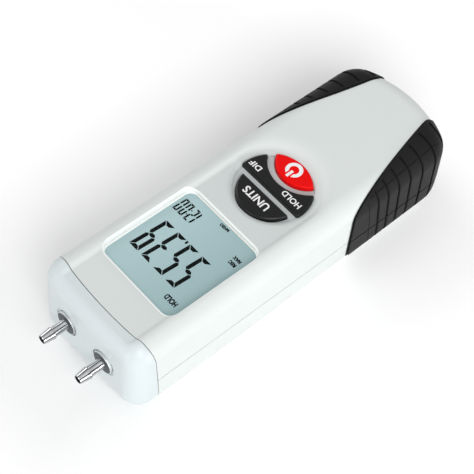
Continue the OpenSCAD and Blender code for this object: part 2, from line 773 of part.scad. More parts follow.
module sensor_tubes() color("#D9D9D2", 0.8) for (s = [-1, 1])
  translate([s * port_pitch / 2, sensor_y + sensor_l + tube_end_gap, port_z]) rotate([-90, 0, 0])
    difference() {
      h = barb_tail_y + spigot_l - sensor_y - sensor_l - tube_end_gap;
      cylinder(r = tube_r, h = h);
      translate([0, 0, -overrun]) cylinder(r = spigot_r, h = h + 2 * overrun);
    }

// Hose ports: turned barbs held by a nut behind the end wall, with a seal under the collar
collar_r = 5.3;
collar_t = 0.9;
barb_land = 0.6;
shank_r = port_hole_r - 0.1;
nut_w = 10;
nut_t = 2.6;
seal_t = 0.8;
seal_r = 4.6;
barb_nut_y = port_inner_y - nut_t;
barb_tail_y = barb_nut_y - 1 - spigot_l;
barb_tip_y = end_y + barb_out;
// Profile of a port from its inner spigot to its tip, as [radius, place along the axis]
function barb_profile() = [
  [barb_bore / 2, barb_tail_y], [spigot_r, barb_tail_y], [spigot_r, barb_nut_y - 1],
  [shank_r, barb_nut_y - 1], [shank_r, port_face_y + seal_t], [collar_r, port_face_y + seal_t],
  [collar_r, port_face_y + seal_t + collar_t], [barb_stem_d / 2, port_face_y + seal_t + collar_t],
  [barb_stem_d / 2, barb_tip_y - barb_l], [barb_d / 2, barb_tip_y - barb_l],
  [barb_d / 2, barb_tip_y - barb_l + barb_land], [barb_tip_d / 2, barb_tip_y],
  [barb_bore / 2, barb_tip_y]];
module barb(s) color("#B9BCC0") translate([s * port_pitch / 2, 0, port_z]) rotate([-90, 0, 0])
  rotate_extrude() polygon(barb_profile());
module left_barb() barb(-1);
module right_barb() barb(1);
module barb_nuts() color("#A9AcB0") for (s = [-1, 1])
  translate([s * port_pitch / 2, barb_nut_y, port_z]) rotate([-90, 0, 0]) difference() {
    cylinder(d = nut_w / cos(30), h = nut_t, $fn = 6);
    translate([0, 0, -overrun]) cylinder(r = shank_r, h = nut_t + 2 * overrun, $fn = 64);
  }
module barb_seals() color("#1E1E20") for (s = [-1, 1])
  translate([s * port_pitch / 2, port_face_y, port_z]) rotate([-90, 0, 0]) difference() {
    cylinder(r = seal_r, h = seal_t);
    translate([0, 0, -overrun]) cylinder(r = shank_r, h = seal_t + 2 * overrun);
  }

// Battery and its contacts
battery_r = 2;
terminal_r = 3.6;
terminal_pitch = 12.7;
contact_t = 0.4;
contact_w = 4;
contact_foot = 4;
battery_axis_z = battery_z + battery_t / 2;
module battery() color("#3D5A86") translate([0, battery_y, battery_axis_z]) rotate([-90, 0, 0])
  linear_extrude(height = battery_l) round_rect(battery_w, battery_t, battery_r);
module battery_terminals() color("#B9BCC0") for (s = [-1, 1])
  translate([s * terminal_pitch / 2, battery_y + battery_l, battery_axis_z]) rotate([-90, 0, 0])
    cylinder(r = terminal_r, h = terminal_up);
contact_y = battery_y + battery_l + terminal_up;
contact_top_z = seam_z + 2;
module battery_contacts() color("#C7B26A") for (s = [-1, 1])
  translate([s * terminal_pitch / 2 - contact_w / 2, contact_y]) {
    translate([0, 0, battery_axis_z - terminal_r])
      cube([contact_w, contact_t, contact_top_z - battery_axis_z + terminal_r]);
    translate([0, 0, contact_top_z - contact_t])
      cube([contact_w, board_y0 + contact_foot - contact_y, contact_t]);
    translate([0, board_y0 + contact_foot - contact_y - contact_t, contact_top_z - contact_t])
      cube([contact_w, contact_t, board_z - contact_top_z + contact_t]);
  }

// Screws
module screw(r, l, head_r, head_t) {
  difference() {
    cylinder(r = head_r, h = head_t);
    translate([0, 0, -overrun]) for (a = [0, 90]) rotate(a)
      translate([-head_r * 0.6, -head_r / 8, 0]) cube([head_r * 1.2, head_r / 4, head_t / 2 + overrun]);
  }
  translate([0, 0, head_t - eps]) cylinder(r = r, h = l);
}
module cover_screws() color("#8E9094") for (p = cover_screw_spots)
  translate([p[0], p[1], cover_head_z]) screw(screw_r, cover_screw_l, screw_head_r, screw_head_t);
module cap_screws() color("#8E9094") for (p = cap_screw_spots)
  translate([p[0], p[1], 0]) screw(small_screw_r, wall, small_head_r, small_head_t);
module board_screws() color("#8E9094") {
  for (p = front_board_spots) translate([p[0], p[1], board_z - small_head_t])
    screw(small_screw_r, small_screw_l, small_head_r, small_head_t);
  for (p = sensor_post_spots)
    translate([p[0], p[1], sensor_board_z + board_t + small_head_t]) rotate([180, 0, 0])
      screw(small_screw_r, small_screw_l, small_head_r, small_head_t);
}

front_cover();
rear_cover();
end_cap();
battery_door();
left_front_grip();
right_front_grip();
left_rear_grip();
right_rear_grip();
display_pane();
display_frame();
lcd_glass();
backlight();
lcd_connectors();
units_key();
rocker_key();
power_key();
keypad_mat();
key_domes();
main_board();
contact_pads();
board_chips();
sensor_board();
board_header();
pressure_sensor();
sensor_tubes();
left_barb();
right_barb();
barb_nuts();
barb_seals();
battery();
battery_terminals();
battery_contacts();
cover_screws();
cap_screws();
board_screws();
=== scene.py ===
# %% [markdown]
# # A hand-held digital manometer, modelled step by step
# The real object is a pressure meter that lies well in one hand. Two barbed metal ports at its
# far end take the hoses, a display shows the pressure, and three keys with plain words and a power
# sign fill a round keypad. We build it around a CAD frame that already says where each part sits.
# Each cell below makes one piece or one finish, and the text before it says why it is made so.

# %% Load the frame
from math import acos, atan2, cos, hypot, pi, radians, sin, sqrt, tan

import bpy
from mathutils import Matrix, Vector


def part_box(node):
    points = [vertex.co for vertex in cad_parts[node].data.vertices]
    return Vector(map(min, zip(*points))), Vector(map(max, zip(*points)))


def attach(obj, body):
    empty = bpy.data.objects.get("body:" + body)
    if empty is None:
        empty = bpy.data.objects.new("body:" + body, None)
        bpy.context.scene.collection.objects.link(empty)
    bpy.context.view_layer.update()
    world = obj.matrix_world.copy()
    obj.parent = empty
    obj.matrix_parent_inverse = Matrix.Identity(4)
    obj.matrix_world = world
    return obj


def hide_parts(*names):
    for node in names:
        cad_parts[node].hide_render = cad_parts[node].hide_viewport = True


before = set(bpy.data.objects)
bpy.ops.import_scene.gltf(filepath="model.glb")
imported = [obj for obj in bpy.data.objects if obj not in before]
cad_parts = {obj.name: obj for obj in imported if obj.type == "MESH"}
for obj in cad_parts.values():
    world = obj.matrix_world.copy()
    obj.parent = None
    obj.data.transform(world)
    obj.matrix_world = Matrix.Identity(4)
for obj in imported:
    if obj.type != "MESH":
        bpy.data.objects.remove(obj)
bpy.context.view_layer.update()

# %% [markdown]
# ## Camera first
# The photograph was taken from above the port end, with a long lens, so lines that are parallel
# on the case stay nearly parallel in the picture. A camera can be placed by its three axes. We
# write them down as the columns of a matrix, which is exact, where turning it by eye is not.

# %% Camera
MM = 0.001
CAMERA_PLACE = (-0.2859, 0.3073, 0.6348)
CAMERA_RIGHT = (-0.6570, -0.7511, 0.0646)
CAMERA_UP = (0.6467, -0.5175, 0.5604)
PHOTO_PIXELS = 474
FOCAL_PIXELS = 1511.3
SENSOR = 36

bpy.ops.object.camera_add()
camera = bpy.context.object
camera.name = "photo_camera"
camera.data.sensor_width = SENSOR
camera.data.lens = FOCAL_PIXELS / PHOTO_PIXELS * SENSOR
right = Vector(CAMERA_RIGHT).normalized()
back = right.cross(Vector(CAMERA_UP)).normalized()
up = back.cross(right)
turn = Matrix((right, up, back)).transposed()
camera.matrix_world = Matrix.Translation(CAMERA_PLACE) @ turn.to_4x4()
bpy.context.scene.camera = camera
print("lens", round(camera.data.lens, 1), "mm")

# %% [markdown]
# ## A few hand tools
# In Blender's window you click a thing and press Tab to edit it. In a script the same steps are
# small functions: one makes a piece the only chosen one, one opens edit mode on all of it and
# turns its faces outwards at the end, and one adds a modifier and applies it at once.


# %% Choosing and editing
def choose(*things):
    bpy.ops.object.select_all(action="DESELECT")
    for thing in things:
        thing.select_set(True)
    bpy.context.view_layer.objects.active = things[0]


def added(name):
    """The object that the last operator added, named and alone in the selection."""
    piece = bpy.context.object
    piece.name = name
    piece.data.name = name
    choose(piece)
    return piece


def settle(piece):
    """Puts the object's place, turn and size into its mesh."""
    choose(piece)
    bpy.ops.object.transform_apply(location=True, rotation=True, scale=True)
    return piece


class Editing:
    """Edit mode with the whole piece selected. At the end its faces are turned outwards."""

    def __init__(self, piece, kind="FACE"):
        self.piece, self.kind = piece, kind

    def __enter__(self):
        choose(self.piece)
        bpy.ops.object.mode_set(mode="EDIT")
        bpy.ops.mesh.select_mode(type=self.kind)
        bpy.ops.mesh.select_all(action="SELECT")

    def __exit__(self, *_):
        bpy.ops.mesh.select_all(action="SELECT")
        bpy.ops.mesh.normals_make_consistent(inside=False)
        bpy.ops.object.mode_set(mode="OBJECT")


def modify(piece, kind, **settings):
    """Adds a modifier, sets it and applies it."""
    choose(piece)
    modifier = piece.modifiers.new(kind.lower(), kind)
    for key, value in settings.items():
        setattr(modifier, key, value)
    bpy.ops.object.modifier_apply(modifier=modifier.name)
    return piece


def copied(piece, name, shift=(0, 0, 0)):
    """A copy with a mesh of its own, moved by so many millimetres."""
    choose(piece)
    bpy.ops.object.duplicate(linked=False)
    twin = added(name)
    twin.data.transform(Matrix.Translation(Vector(shift) * MM))
    return twin


def removed(*pieces):
    for piece in pieces:
        bpy.data.objects.remove(piece, do_unlink=True)


def combine(piece, other, how="DIFFERENCE", keep=False):
    """Cuts, joins or crosses two closed pieces."""
    modify(piece, "BOOLEAN", object=other, operation=how, solver="MANIFOLD")
    if not keep:
        removed(other)
    return piece


def joined(name, pieces):
    choose(*pieces)
    if len(pieces) > 1:
        bpy.ops.object.join()
    return added(name)


def smooth(piece, angle=30):
    """Smooth over gentle bends, sharp over strong ones, with flat faces kept flat."""
    choose(piece)
    bpy.ops.object.shade_smooth_by_angle(angle=radians(angle))
    return modify(piece, "WEIGHTED_NORMAL", keep_sharp=True, weight=50)


# %% [markdown]
# ## Starting shapes
# Most pieces start as a box, a rod or a flat plate with a drawn outline. A plate starts as a
# circle with as many points as its outline, because the points of a circle come in order, so
# each can be moved to its own place before the face is extruded.


# %% Boxes, rods and plates
TOUCHING = 1e-6


def block(name, low, high):
    """A box between two corners, in millimetres."""
    middle = [(a + b) / 2 * MM for a, b in zip(low, high)]
    bpy.ops.mesh.primitive_cube_add(size=1, location=middle)
    piece = added(name)
    piece.scale = [(b - a) * MM for a, b in zip(low, high)]
    return settle(piece)


def rod(name, radius, low, high, middle=(0, 0), axis="Z", sides=64):
    """A rod along Z or Y, between two heights or places."""
    place = (low + high) / 2
    where = (middle[0], middle[1], place) if axis == "Z" else (middle[0], place, middle[1])
    bpy.ops.mesh.primitive_cylinder_add(
        vertices=sides, radius=radius * MM, depth=(high - low) * MM,
        location=[c * MM for c in where], rotation=(0, 0, 0) if axis == "Z" else (pi / 2, 0, 0))
    return settle(added(name))


def plate(name, outline, low, high):
    """A flat plate with that outline, between two heights."""
    bpy.ops.mesh.primitive_circle_add(vertices=len(outline), radius=MM, fill_type="NGON")
    piece = added(name)
    for vertex, point in zip(piece.data.vertices, outline):
        vertex.co = (point[0] * MM, point[1] * MM, low * MM)
    with Editing(piece):
        rise = (0, 0, (high - low) * MM)
        bpy.ops.mesh.extrude_region_move(TRANSFORM_OT_translate={"value": rise})
    return piece


def lofted(name, rings, closed=False):
    """A skin through rings of points, in millimetres. A closed one meets itself like a tyre."""
    rings = [list(ring) + [ring[0]] for ring in rings]
    if closed:
        rings.append(rings[0])
    wide = len(rings[0])
    bpy.ops.mesh.primitive_grid_add(x_subdivisions=wide - 1, y_subdivisions=len(rings) - 1, size=MM)
    piece = added(name)
    for number, vertex in enumerate(piece.data.vertices):
        vertex.co = Vector(rings[number // wide][number % wide]) * MM
    with Editing(piece):
        bpy.ops.mesh.remove_doubles(threshold=TOUCHING)
        if not closed:
            bpy.ops.mesh.fill_holes(sides=0)
    return piece


def round_rectangle(width, height, radius, middle=(0, 0), steps=8):
    """Outline points of a rectangle with round corners."""
    points = []
    for number, (sx, sy) in enumerate([(1, 1), (-1, 1), (-1, -1), (1, -1)]):
        for step in range(steps + 1):
            angle = (number + step / steps) * pi / 2
            points.append((middle[0] + sx * (width / 2 - radius) + radius * cos(angle),
                           middle[1] + sy * (height / 2 - radius) + radius * sin(angle)))
    return points


# %% [markdown]
# ## The case: one sheet wrapped round a block
# The real case is moulded in three shells: a front cover, a rear cover and an end cap. Their
# outer faces are one smooth form, so we make that form once and cut the shells out of it. It
# could be a box with bevels, but the rear edge gets rounder towards the foot and the front panel
# sinks in a soft U round the keypad. A sheet of squared paper does it better: we start from a
# grid, wrap it round the outline of the case, and set each of its rows on one ring of the form.

# %% Sizes of the case
BODY_WIDTH, FOOT_WIDTH, BODY_THICK = 72, 70.4, 50
FOOT_Y, END_Y, SEAM_Z = -113.25, 98.75, 22.8
WALL, SHOULDER = 2.2, 10.4
CAP_CORNER, CAP_END_BOW = 11, 440
FOOT_CORNER, FOOT_BOW = 16, 62
REAR_ROUND_CAP, REAR_ROUND_FOOT = 9.5, 16
DRAFT = tan(radians(1))
PAD_Y, WINDOW_Y = -16.55, 41.6
PANEL_Z, PANEL_HALF, PANEL_SLOPE, PANEL_FADE = 48.1, 22.8, 3.8, 2.5

cap_x = BODY_WIDTH / 2 - CAP_CORNER
cap_y = END_Y - CAP_END_BOW + sqrt((CAP_END_BOW - CAP_CORNER) ** 2 - cap_x ** 2)
cap_angle = atan2(cap_y - END_Y + CAP_END_BOW, cap_x)
foot_x = FOOT_WIDTH / 2 - FOOT_CORNER
foot_y = FOOT_Y + FOOT_BOW - sqrt((FOOT_BOW - FOOT_CORNER) ** 2 - foot_x ** 2)
foot_angle = atan2(FOOT_Y + FOOT_BOW - foot_y, foot_x)
print("corner centres", round(cap_y, 2), round(foot_y, 2))


# %% Outline of the case
def arc(cx, cy, radius, start, end, steps):
    """Points on an arc, each with its outward direction."""
    angles = [start + (end - start) * k / steps for k in range(steps + 1)]
    return [(cx + radius * cos(a), cy + radius * sin(a), cos(a), sin(a)) for a in angles]


SIDE_STEPS = 36
side = [(FOOT_WIDTH / 2 + (BODY_WIDTH - FOOT_WIDTH) / 2 * k / SIDE_STEPS,
         foot_y + (cap_y - foot_y) * k / SIDE_STEPS, 1, 0) for k in range(1, SIDE_STEPS)]
right_edge = (arc(0, FOOT_Y + FOOT_BOW, FOOT_BOW, -pi / 2, -foot_angle, 10)
              + arc(foot_x, foot_y, FOOT_CORNER, -foot_angle, 0, 14)[1:]
              + side
              + arc(cap_x, cap_y, CAP_CORNER, 0, cap_angle, 12)
              + arc(0, END_Y - CAP_END_BOW, CAP_END_BOW, cap_angle, pi / 2, 8)[1:])
left_edge = [(-x, y, -nx, ny) for x, y, nx, ny in reversed(right_edge[1:-1])]
case_edge = right_edge + left_edge
print("outline points", len(case_edge))

# %% [markdown]
# ## Heights of the front
# Going inwards from the outline, the front rises over a round shoulder and then sinks into the
# panel. Two simple height functions say this, one for the shoulder and one for the sunk panel,
# and a soft minimum joins them, so the crest between them is a gentle roll and not a crease.


# %% Height functions
def inset_at(x, y):
    """How far a point in plan lies inside the outline."""
    x = abs(x)
    if y > cap_y and x > cap_x and atan2(y - cap_y, x - cap_x) < cap_angle:
        return CAP_CORNER - hypot(x - cap_x, y - cap_y)
    if y < foot_y and x > foot_x and atan2(foot_y - y, x - foot_x) < foot_angle:
        return FOOT_CORNER - hypot(x - foot_x, y - foot_y)
    if y < foot_y:
        return FOOT_BOW - hypot(x, y - FOOT_Y - FOOT_BOW)
    share = (y - foot_y) / (cap_y - foot_y)
    to_side = FOOT_WIDTH / 2 + (BODY_WIDTH - FOOT_WIDTH) / 2 * share - x
    return min(to_side, CAP_END_BOW - hypot(x, y - END_Y + CAP_END_BOW))


def shoulder_height(x, y):
    run = inset_at(x, y) - DRAFT * (BODY_THICK - SEAM_Z)
    if run >= SHOULDER:
        return BODY_THICK
    return BODY_THICK - SHOULDER + sqrt(max(0, SHOULDER ** 2 - (SHOULDER - max(0, run)) ** 2))


def panel_height(x, y):
    beyond = hypot(x, min(0, y - PAD_Y)) - PANEL_HALF
    if beyond <= 0:
        return PANEL_Z
    downward = max(0, PAD_Y - y) / hypot(x, y - PAD_Y)
    run = PANEL_SLOPE + PANEL_FADE * downward
    if beyond > run:
        return BODY_THICK + (beyond - run) / 2
    share = beyond / run
    return PANEL_Z + (BODY_THICK - PANEL_Z) * share * share * (3 - 2 * share)


def soft_lower(a, b, blend=1.1):
    near = max(blend - abs(a - b), 0) / blend
    return min(a, b) - near * near * blend / 4


def front_height(x, y):
    return soft_lower(shoulder_height(x, y), panel_height(x, y))


# %% Where each column of the sheet ends on the panel
PANEL_END_IN, PANEL_CORNER = 6.2, 1.5
panel_corner_y = cap_y + CAP_CORNER * sin(cap_angle) - PANEL_END_IN - PANEL_CORNER


def panel_point(x, y, nx, ny):
    """The point on the panel's own edge that belongs to a point of the outline."""
    sign = -1 if x < 0 else 1
    if y < PAD_Y:
        length = hypot(x, y - PAD_Y)
        return x / length * PANEL_HALF, PAD_Y + (y - PAD_Y) / length * PANEL_HALF
    if y <= cap_y + 1e-6:
        share = (y - PAD_Y) / (cap_y - PAD_Y)
        return sign * PANEL_HALF, PAD_Y + share * (panel_corner_y - PAD_Y)
    inner = PANEL_HALF - PANEL_CORNER
    if abs(x) > cap_x + CAP_CORNER * cos(cap_angle) - 1e-6:
        return sign * inner + nx * PANEL_CORNER, panel_corner_y + ny * PANEL_CORNER
    return x * inner / (cap_x + CAP_CORNER * cos(cap_angle)), y - PANEL_END_IN


# %% [markdown]
# ## The rings of the form
# A column of the sheet starts on the flat of the rear, climbs the rear rounding and the wall, and
# goes over the shoulder. With a panel it then runs on to the panel's edge. The same columns, grown
# by a little, give the outer face of the rubber grips, so they hug the case at an even height.

# %% One column of the sheet
REAR_ROWS, WALL_ROWS, SHOULDER_ROWS, PANEL_ROWS = 12, 3, 16, 16


def rear_radius(y):
    share = min(1, max(0, (y - FOOT_Y) / (WINDOW_Y - FOOT_Y)))
    return REAR_ROUND_FOOT + (REAR_ROUND_CAP - REAR_ROUND_FOOT) * share


def column(edge, grow, with_panel):
    """Points of one column, from the rear flat to the front."""
    x, y, nx, ny = edge
    radius = rear_radius(y)
    front_z = BODY_THICK - SHOULDER
    target = panel_point(*edge)
    reach = hypot(target[0] - x, target[1] - y)
    points = []

    def put(inset, z):
        slope = DRAFT * abs(z - SEAM_Z)
        points.append((x - nx * (inset + slope), y - ny * (inset + slope), z))

    for k in range(REAR_ROWS + 1):
        a = pi / 2 * (1 - k / REAR_ROWS)
        put(radius - (radius + grow) * cos(a), radius - (radius + grow) * sin(a))
    for k in range(1, WALL_ROWS + 1):
        put(-grow, radius + (SEAM_Z - radius) * k / WALL_ROWS)
    for k in range(1, WALL_ROWS):
        put(-grow, SEAM_Z + (front_z - SEAM_Z) * k / WALL_ROWS)
    last = pi / 2
    if with_panel:
        last = acos(1 - min(1, max(0.1, (0.7 * reach - 0.45) / SHOULDER)))
    for k in range(SHOULDER_ROWS + 1):
        a = last * k / SHOULDER_ROWS
        put(SHOULDER - (SHOULDER + grow) * cos(a), front_z + (SHOULDER + grow) * sin(a))
    if not with_panel:
        return points
    sx, sy, _ = points[-1]
    points = [(px, py, soft_lower(pz, panel_height(px, py)) if pz > front_z + 4 else pz)
              for px, py, pz in points]
    for k in range(1, PANEL_ROWS + 1):
        left = (1 - k / PANEL_ROWS) ** 2
        px, py = target[0] + (sx - target[0]) * left, target[1] + (sy - target[1]) * left
        points.append((px, py, front_height(px, py)))
    return points


# %% Wrap the sheet
def case_form(name, grow=0, with_panel=False):
    """The closed outer form of the case, grown by so many millimetres."""
    columns = [column(edge, grow, with_panel) for edge in case_edge]
    return lofted(name, list(zip(*columns)))


solid = case_form("case_solid", with_panel=True)
print("case form faces", len(solid.data.polygons), "size mm",
      [round(s / MM, 2) for s in solid.dimensions])

# %% [markdown]
# ## Cutting the shells out
# The form gets a wall of 2.2 mm, and is then parted as the mould parts it: first the end cap,
# along a bowed plane that leans a little, then front from rear at the seam. A gap of not quite
# half a millimetre stays between the shells. It is what draws the fine grey parting lines.

# %% Hollow the form and part it
FAR, OVER = 150, 1
SEAM_GAP = 0.42
CAP_SEAM_Y, CAP_BOW, CAP_LEAN = 87.15, 245, radians(-4)

hollow = copied(solid, "case_hollow")
modify(hollow, "SOLIDIFY", thickness=WALL * MM, offset=-1, use_even_offset=True)


def cap_parting(shift):
    """A huge upright rod whose skin is the bowed parting plane of the end cap."""
    bpy.ops.mesh.primitive_cylinder_add(vertices=400, radius=CAP_BOW * MM, depth=0.3)
    cutter = added("cap_parting")
    lean = Matrix.Rotation(CAP_LEAN, 4, "X")
    place = Matrix.Translation((0, (CAP_SEAM_Y + shift) * MM, BODY_THICK / 2 * MM))
    cutter.matrix_world = place @ lean @ Matrix.Translation((0, -CAP_BOW * MM, 0))
    return settle(cutter)


end_shell = combine(copied(hollow, "end_shell"), cap_parting(SEAM_GAP / 2))
combine(hollow, cap_parting(-SEAM_GAP / 2), "INTERSECT")
above = block("above", (-FAR, -FAR, SEAM_Z + SEAM_GAP / 2), (FAR, FAR, FAR))
below = block("below", (-FAR, -FAR, -FAR), (FAR, FAR, SEAM_Z - SEAM_GAP / 2))
front_shell = combine(copied(hollow, "front_shell"), above, "INTERSECT")
rear_shell = combine(hollow, below, "INTERSECT")
rear_shell.name = "rear_shell"
print([(p.name, len(p.data.polygons)) for p in (end_shell, front_shell, rear_shell)])

# %% [markdown]
# ## A dark strip in the parting line
# Between front and rear lies a thin dark grey strip, a little inside the outer face. It is
# painted shade: a dark thing set in the gap between the covers for the shade in it, so the gap
# draws an even grey line. It is a closed skin, like a tyre with a square section, and it stops at
# the end cap.

# %% Dark strip for the shade in the parting line
CORD_IN, CORD_DEEP, CORD_HALF = 0.15, 1.7, 0.35
shade_strip = lofted("parting_shade_strip", [
    [(x - nx * inset, y - ny * inset, SEAM_Z + side_z) for x, y, nx, ny in case_edge]
    for inset, side_z in [(CORD_IN, -CORD_HALF), (CORD_IN, CORD_HALF),
                          (CORD_DEEP, CORD_HALF), (CORD_DEEP, -CORD_HALF)]], closed=True)
combine(shade_strip, block("case_part", (-FAR, -FAR, 0), (FAR, cap_y - 1.5, FAR)), "INTERSECT")
smooth(shade_strip, 40)
print("cord faces", len(shade_strip.data.polygons))

# %% [markdown]
# ## Openings in the front
# The front cover has a window for the display and a round hole for the keypad. Both get an edge
# piece of their own below, because a moulded rim with a soft radius is hard to keep clean on a
# curved shell, and easy on a ring.

# %% Cut the window and the keypad hole
WINDOW_W, WINDOW_H, WINDOW_R = 50.4, 56.2, 5.2
RIM = 0.95
PAD_R, KEY_GAP, RING_W = 19.6, 0.25, 2.6
CUT_LOW, CUT_TOP = 40, 60
ring_r = PAD_R + KEY_GAP + RING_W

combine(front_shell, plate("window_cut", round_rectangle(
    WINDOW_W + 2 * RIM, WINDOW_H + 2 * RIM, WINDOW_R + RIM, (0, WINDOW_Y)), CUT_LOW, CUT_TOP))
combine(front_shell, rod("keypad_cut", ring_r - 0.1, CUT_LOW, CUT_TOP, (0, PAD_Y), sides=128))
smooth(front_shell)
print("front shell faces", len(front_shell.data.polygons))

# %% [markdown]
# ## The rim of the display
# Round the display runs a rim that rolls down to the glass, and catches the light as a pale
# line. Its section is a small quarter circle. The same round rectangle is drawn once for each
# point of that section, each a little larger or higher, and a skin is laid through them all. The
# outer rings follow the height of the front, and the inner ones stay level with the panel, so
# along both sides the rim falls from the shoulder to the glass in one smooth slope.

# %% Window rim
RIM_FOOT, RIM_UP, RIM_ROLL = 46.92, 0.15, 0.75
quarter = [pi / 2 * k / 6 for k in range(7)]
rim_profile = [(RIM - RIM_UP * (1 - cos(a)), RIM_UP * sin(a)) for a in quarter] + [
    (RIM_ROLL * (1 - sin(a)), RIM_UP - RIM_ROLL * (1 - cos(a))) for a in quarter]


def window_ring(out, height):
    """A ring round the window, at a height above the front, or at the foot of the rim."""
    plan = round_rectangle(WINDOW_W + 2 * out, WINDOW_H + 2 * out, WINDOW_R + out, (0, WINDOW_Y))
    if height is None:
        return [(x, y, RIM_FOOT) for x, y in plan]
    climb = out / RIM
    return [(x, y, PANEL_Z + (front_height(x, y) - PANEL_Z) * climb + height) for x, y in plan]


rim = lofted("window_rim", [window_ring(out, height) for out, height in
                            [(RIM, None)] + rim_profile + [(0, None)]], closed=True)
smooth(rim, 40)
print("rim faces", len(rim.data.polygons))

# %% [markdown]
# ## The keypad plate
# The keys stand in a round plate with narrow bars between them. Its edge lies level with the
# panel and then dips towards the keys like a dish, so it is a skin through circles, each a little
# smaller and lower than the one before. Its faces are then turned over: Blender judges by the
# outermost ones, and these belong to a thin lip that hides the gap. Each key cuts its own hole.
# The key outlines are worked out once, from circles and straight lines, for hole and key alike.

# %% Key outlines
UNITS_CIRCLE, UNITS_EDGE = (-0.8, 3.3, 16.5), 5.95
ROCKER_CIRCLE, ROCKER_EDGE, ROCKER_ARCH = (0, 0.5, 20.2), 2.45, (0.6, -23.0, 19.7)
POWER_CIRCLE, POWER_ARCH = (0.7, -0.45, 19.6), (0.65, -22.15, 15.3)


def round_corners(points, radius, steps=4):
    """Rounds the sharp corners of a closed outline."""
    result = []
    count = len(points)
    for k in range(count):
        here = Vector(points[k])
        before, after = Vector(points[k - 1]) - here, Vector(points[(k + 1) % count]) - here
        if before.angle(after, pi) > radians(150):
            result.append(tuple(here))
            continue
        start, end = here + before.normalized() * radius, here + after.normalized() * radius
        for step in range(steps + 1):
            t = step / steps
            result.append(tuple(start * (1 - t) ** 2 + here * 2 * t * (1 - t) + end * t * t))
    return result


def grown(circle, grow):
    return circle[0], circle[1], circle[2] + grow


def on_line(circle, y):
    """Where a circle crosses a line along X: the left and the right point."""
    half = sqrt(circle[2] ** 2 - (y - circle[1]) ** 2)
    return (circle[0] - half, y), (circle[0] + half, y)


def meeting(first, second):
    """Where two circles cross: the left and the right point."""
    (ax, ay, ar), (bx, by, br) = first, second
    gap = hypot(bx - ax, by - ay)
    along = (ar ** 2 - br ** 2 + gap ** 2) / (2 * gap)
    across = sqrt(ar ** 2 - along ** 2)
    ux, uy = (bx - ax) / gap, (by - ay) / gap
    return sorted((ax + ux * along + side * uy * across, ay + uy * along - side * ux * across)
                  for side in (-1, 1))


def arc_between(circle, start, end, steps):
    """Points on a circle from one point to another, the shorter way round."""
    cx, cy, radius = circle
    first, last = (atan2(y - cy, x - cx) for x, y in (start, end))
    last = first + (last - first + pi) % (2 * pi) - pi
    return [(px, PAD_Y + py) for px, py, _, _ in arc(cx, cy, radius, first, last, steps)]


def units_outline(grow):
    circle = grown(UNITS_CIRCLE, grow)
    left, right = on_line(circle, UNITS_EDGE - grow)
    return arc_between(circle, right, left, 32)


def rocker_outline(grow):
    circle, arch = grown(ROCKER_CIRCLE, grow), grown(ROCKER_ARCH, -grow)
    top_left, top_right = on_line(circle, ROCKER_EDGE + grow)
    low_left, low_right = meeting(circle, arch)
    return (arc_between(circle, top_left, low_left, 12)
            + arc_between(arch, low_left, low_right, 32)[1:-1]
            + arc_between(circle, low_right, top_right, 12))


def power_outline(grow):
    circle, arch = grown(POWER_CIRCLE, grow), grown(POWER_ARCH, grow)
    left, right = meeting(circle, arch)
    return arc_between(arch, right, left, 26) + arc_between(circle, left, right, 26)[1:-1]


KEY_OUTLINES = {"units_key": units_outline, "rocker_key": rocker_outline,
                "power_key": power_outline}
print({name: len(draw(0)) for name, draw in KEY_OUTLINES.items()})

# %% Keypad plate
BAR_DROP, RING_SPREAD, RING_IN, DISH = 1.3, 0.35, 2.3, 0.75
HOLE_CORNER = 0.6


def circle(radius, z, steps=128):
    return [(x, PAD_Y + y, z) for x, y, _, _ in arc(0, 0, radius, 0, 2 * pi, steps)[:-1]]


def dish_height(t):
    """Height over the panel, from the outer edge of the ring, t = 0, to the keys, t = 1."""
    return 0.03 - DISH * t ** 1.5


keypad_plate = lofted("keypad_plate", [
    circle(ring_r - 0.3, 46.2), circle(ring_r - 0.3, PANEL_Z + 0.01)] + [
    circle(ring_r + RING_SPREAD - (RING_SPREAD + RING_IN) * t, PANEL_Z + dish_height(t))
    for t in [k / 16 for k in range(17)]])
bpy.ops.object.mode_set(mode="EDIT")
bpy.ops.mesh.select_all(action="SELECT")
bpy.ops.mesh.flip_normals()
bpy.ops.object.mode_set(mode="OBJECT")
combine(keypad_plate, rod("bar_level", ring_r - RING_IN - 0.05, PANEL_Z - BAR_DROP, CUT_TOP,
                          (0, PAD_Y), sides=128))
for name, draw in KEY_OUTLINES.items():
    hole = round_corners(draw(KEY_GAP), HOLE_CORNER)
    combine(keypad_plate, plate("key_hole", hole, CUT_LOW, CUT_TOP))
smooth(keypad_plate, 40)
print("keypad plate faces", len(keypad_plate.data.polygons))

# %% [markdown]
# ## The keys
# The keys are soft caps with a rolled upper edge. The outline function can draw a key a little
# smaller, so the roll is a stack of outlines that shrink as they rise, with a skin through them.
# Bevelling the plate would be quicker, but it tears the sharp tips of the middle key.

# %% Keys
KEY_TOP, KEY_ROLL, KEY_CORNER, KEY_FOOT = 49.4, 1.2, 0.65, 1.3
keys = {}
for name, draw in KEY_OUTLINES.items():
    section = [(0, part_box(name)[0][2] / MM + KEY_FOOT)] + [
        (KEY_ROLL * (1 - cos(a)), KEY_TOP - KEY_ROLL * (1 - sin(a))) for a in quarter]
    key = lofted(name.replace("_key", "_cap"), [
        [(x, y, z) for x, y in round_corners(draw(-inset), KEY_CORNER)] for inset, z in section])
    smooth(key, 35)
    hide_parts(name)
    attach(key, name)
    keys[name] = key
print("keys", {name: len(key.data.polygons) for name, key in keys.items()})

# %% [markdown]
# ## Words and signs
# The words on the keys and on the display are printed, so they are thin plates that stand a
# hair above what carries them. Blender's text object makes them. It is turned into a mesh and
# then stretched to the size and place of the print.

# %% Lettering
INK = 0.03


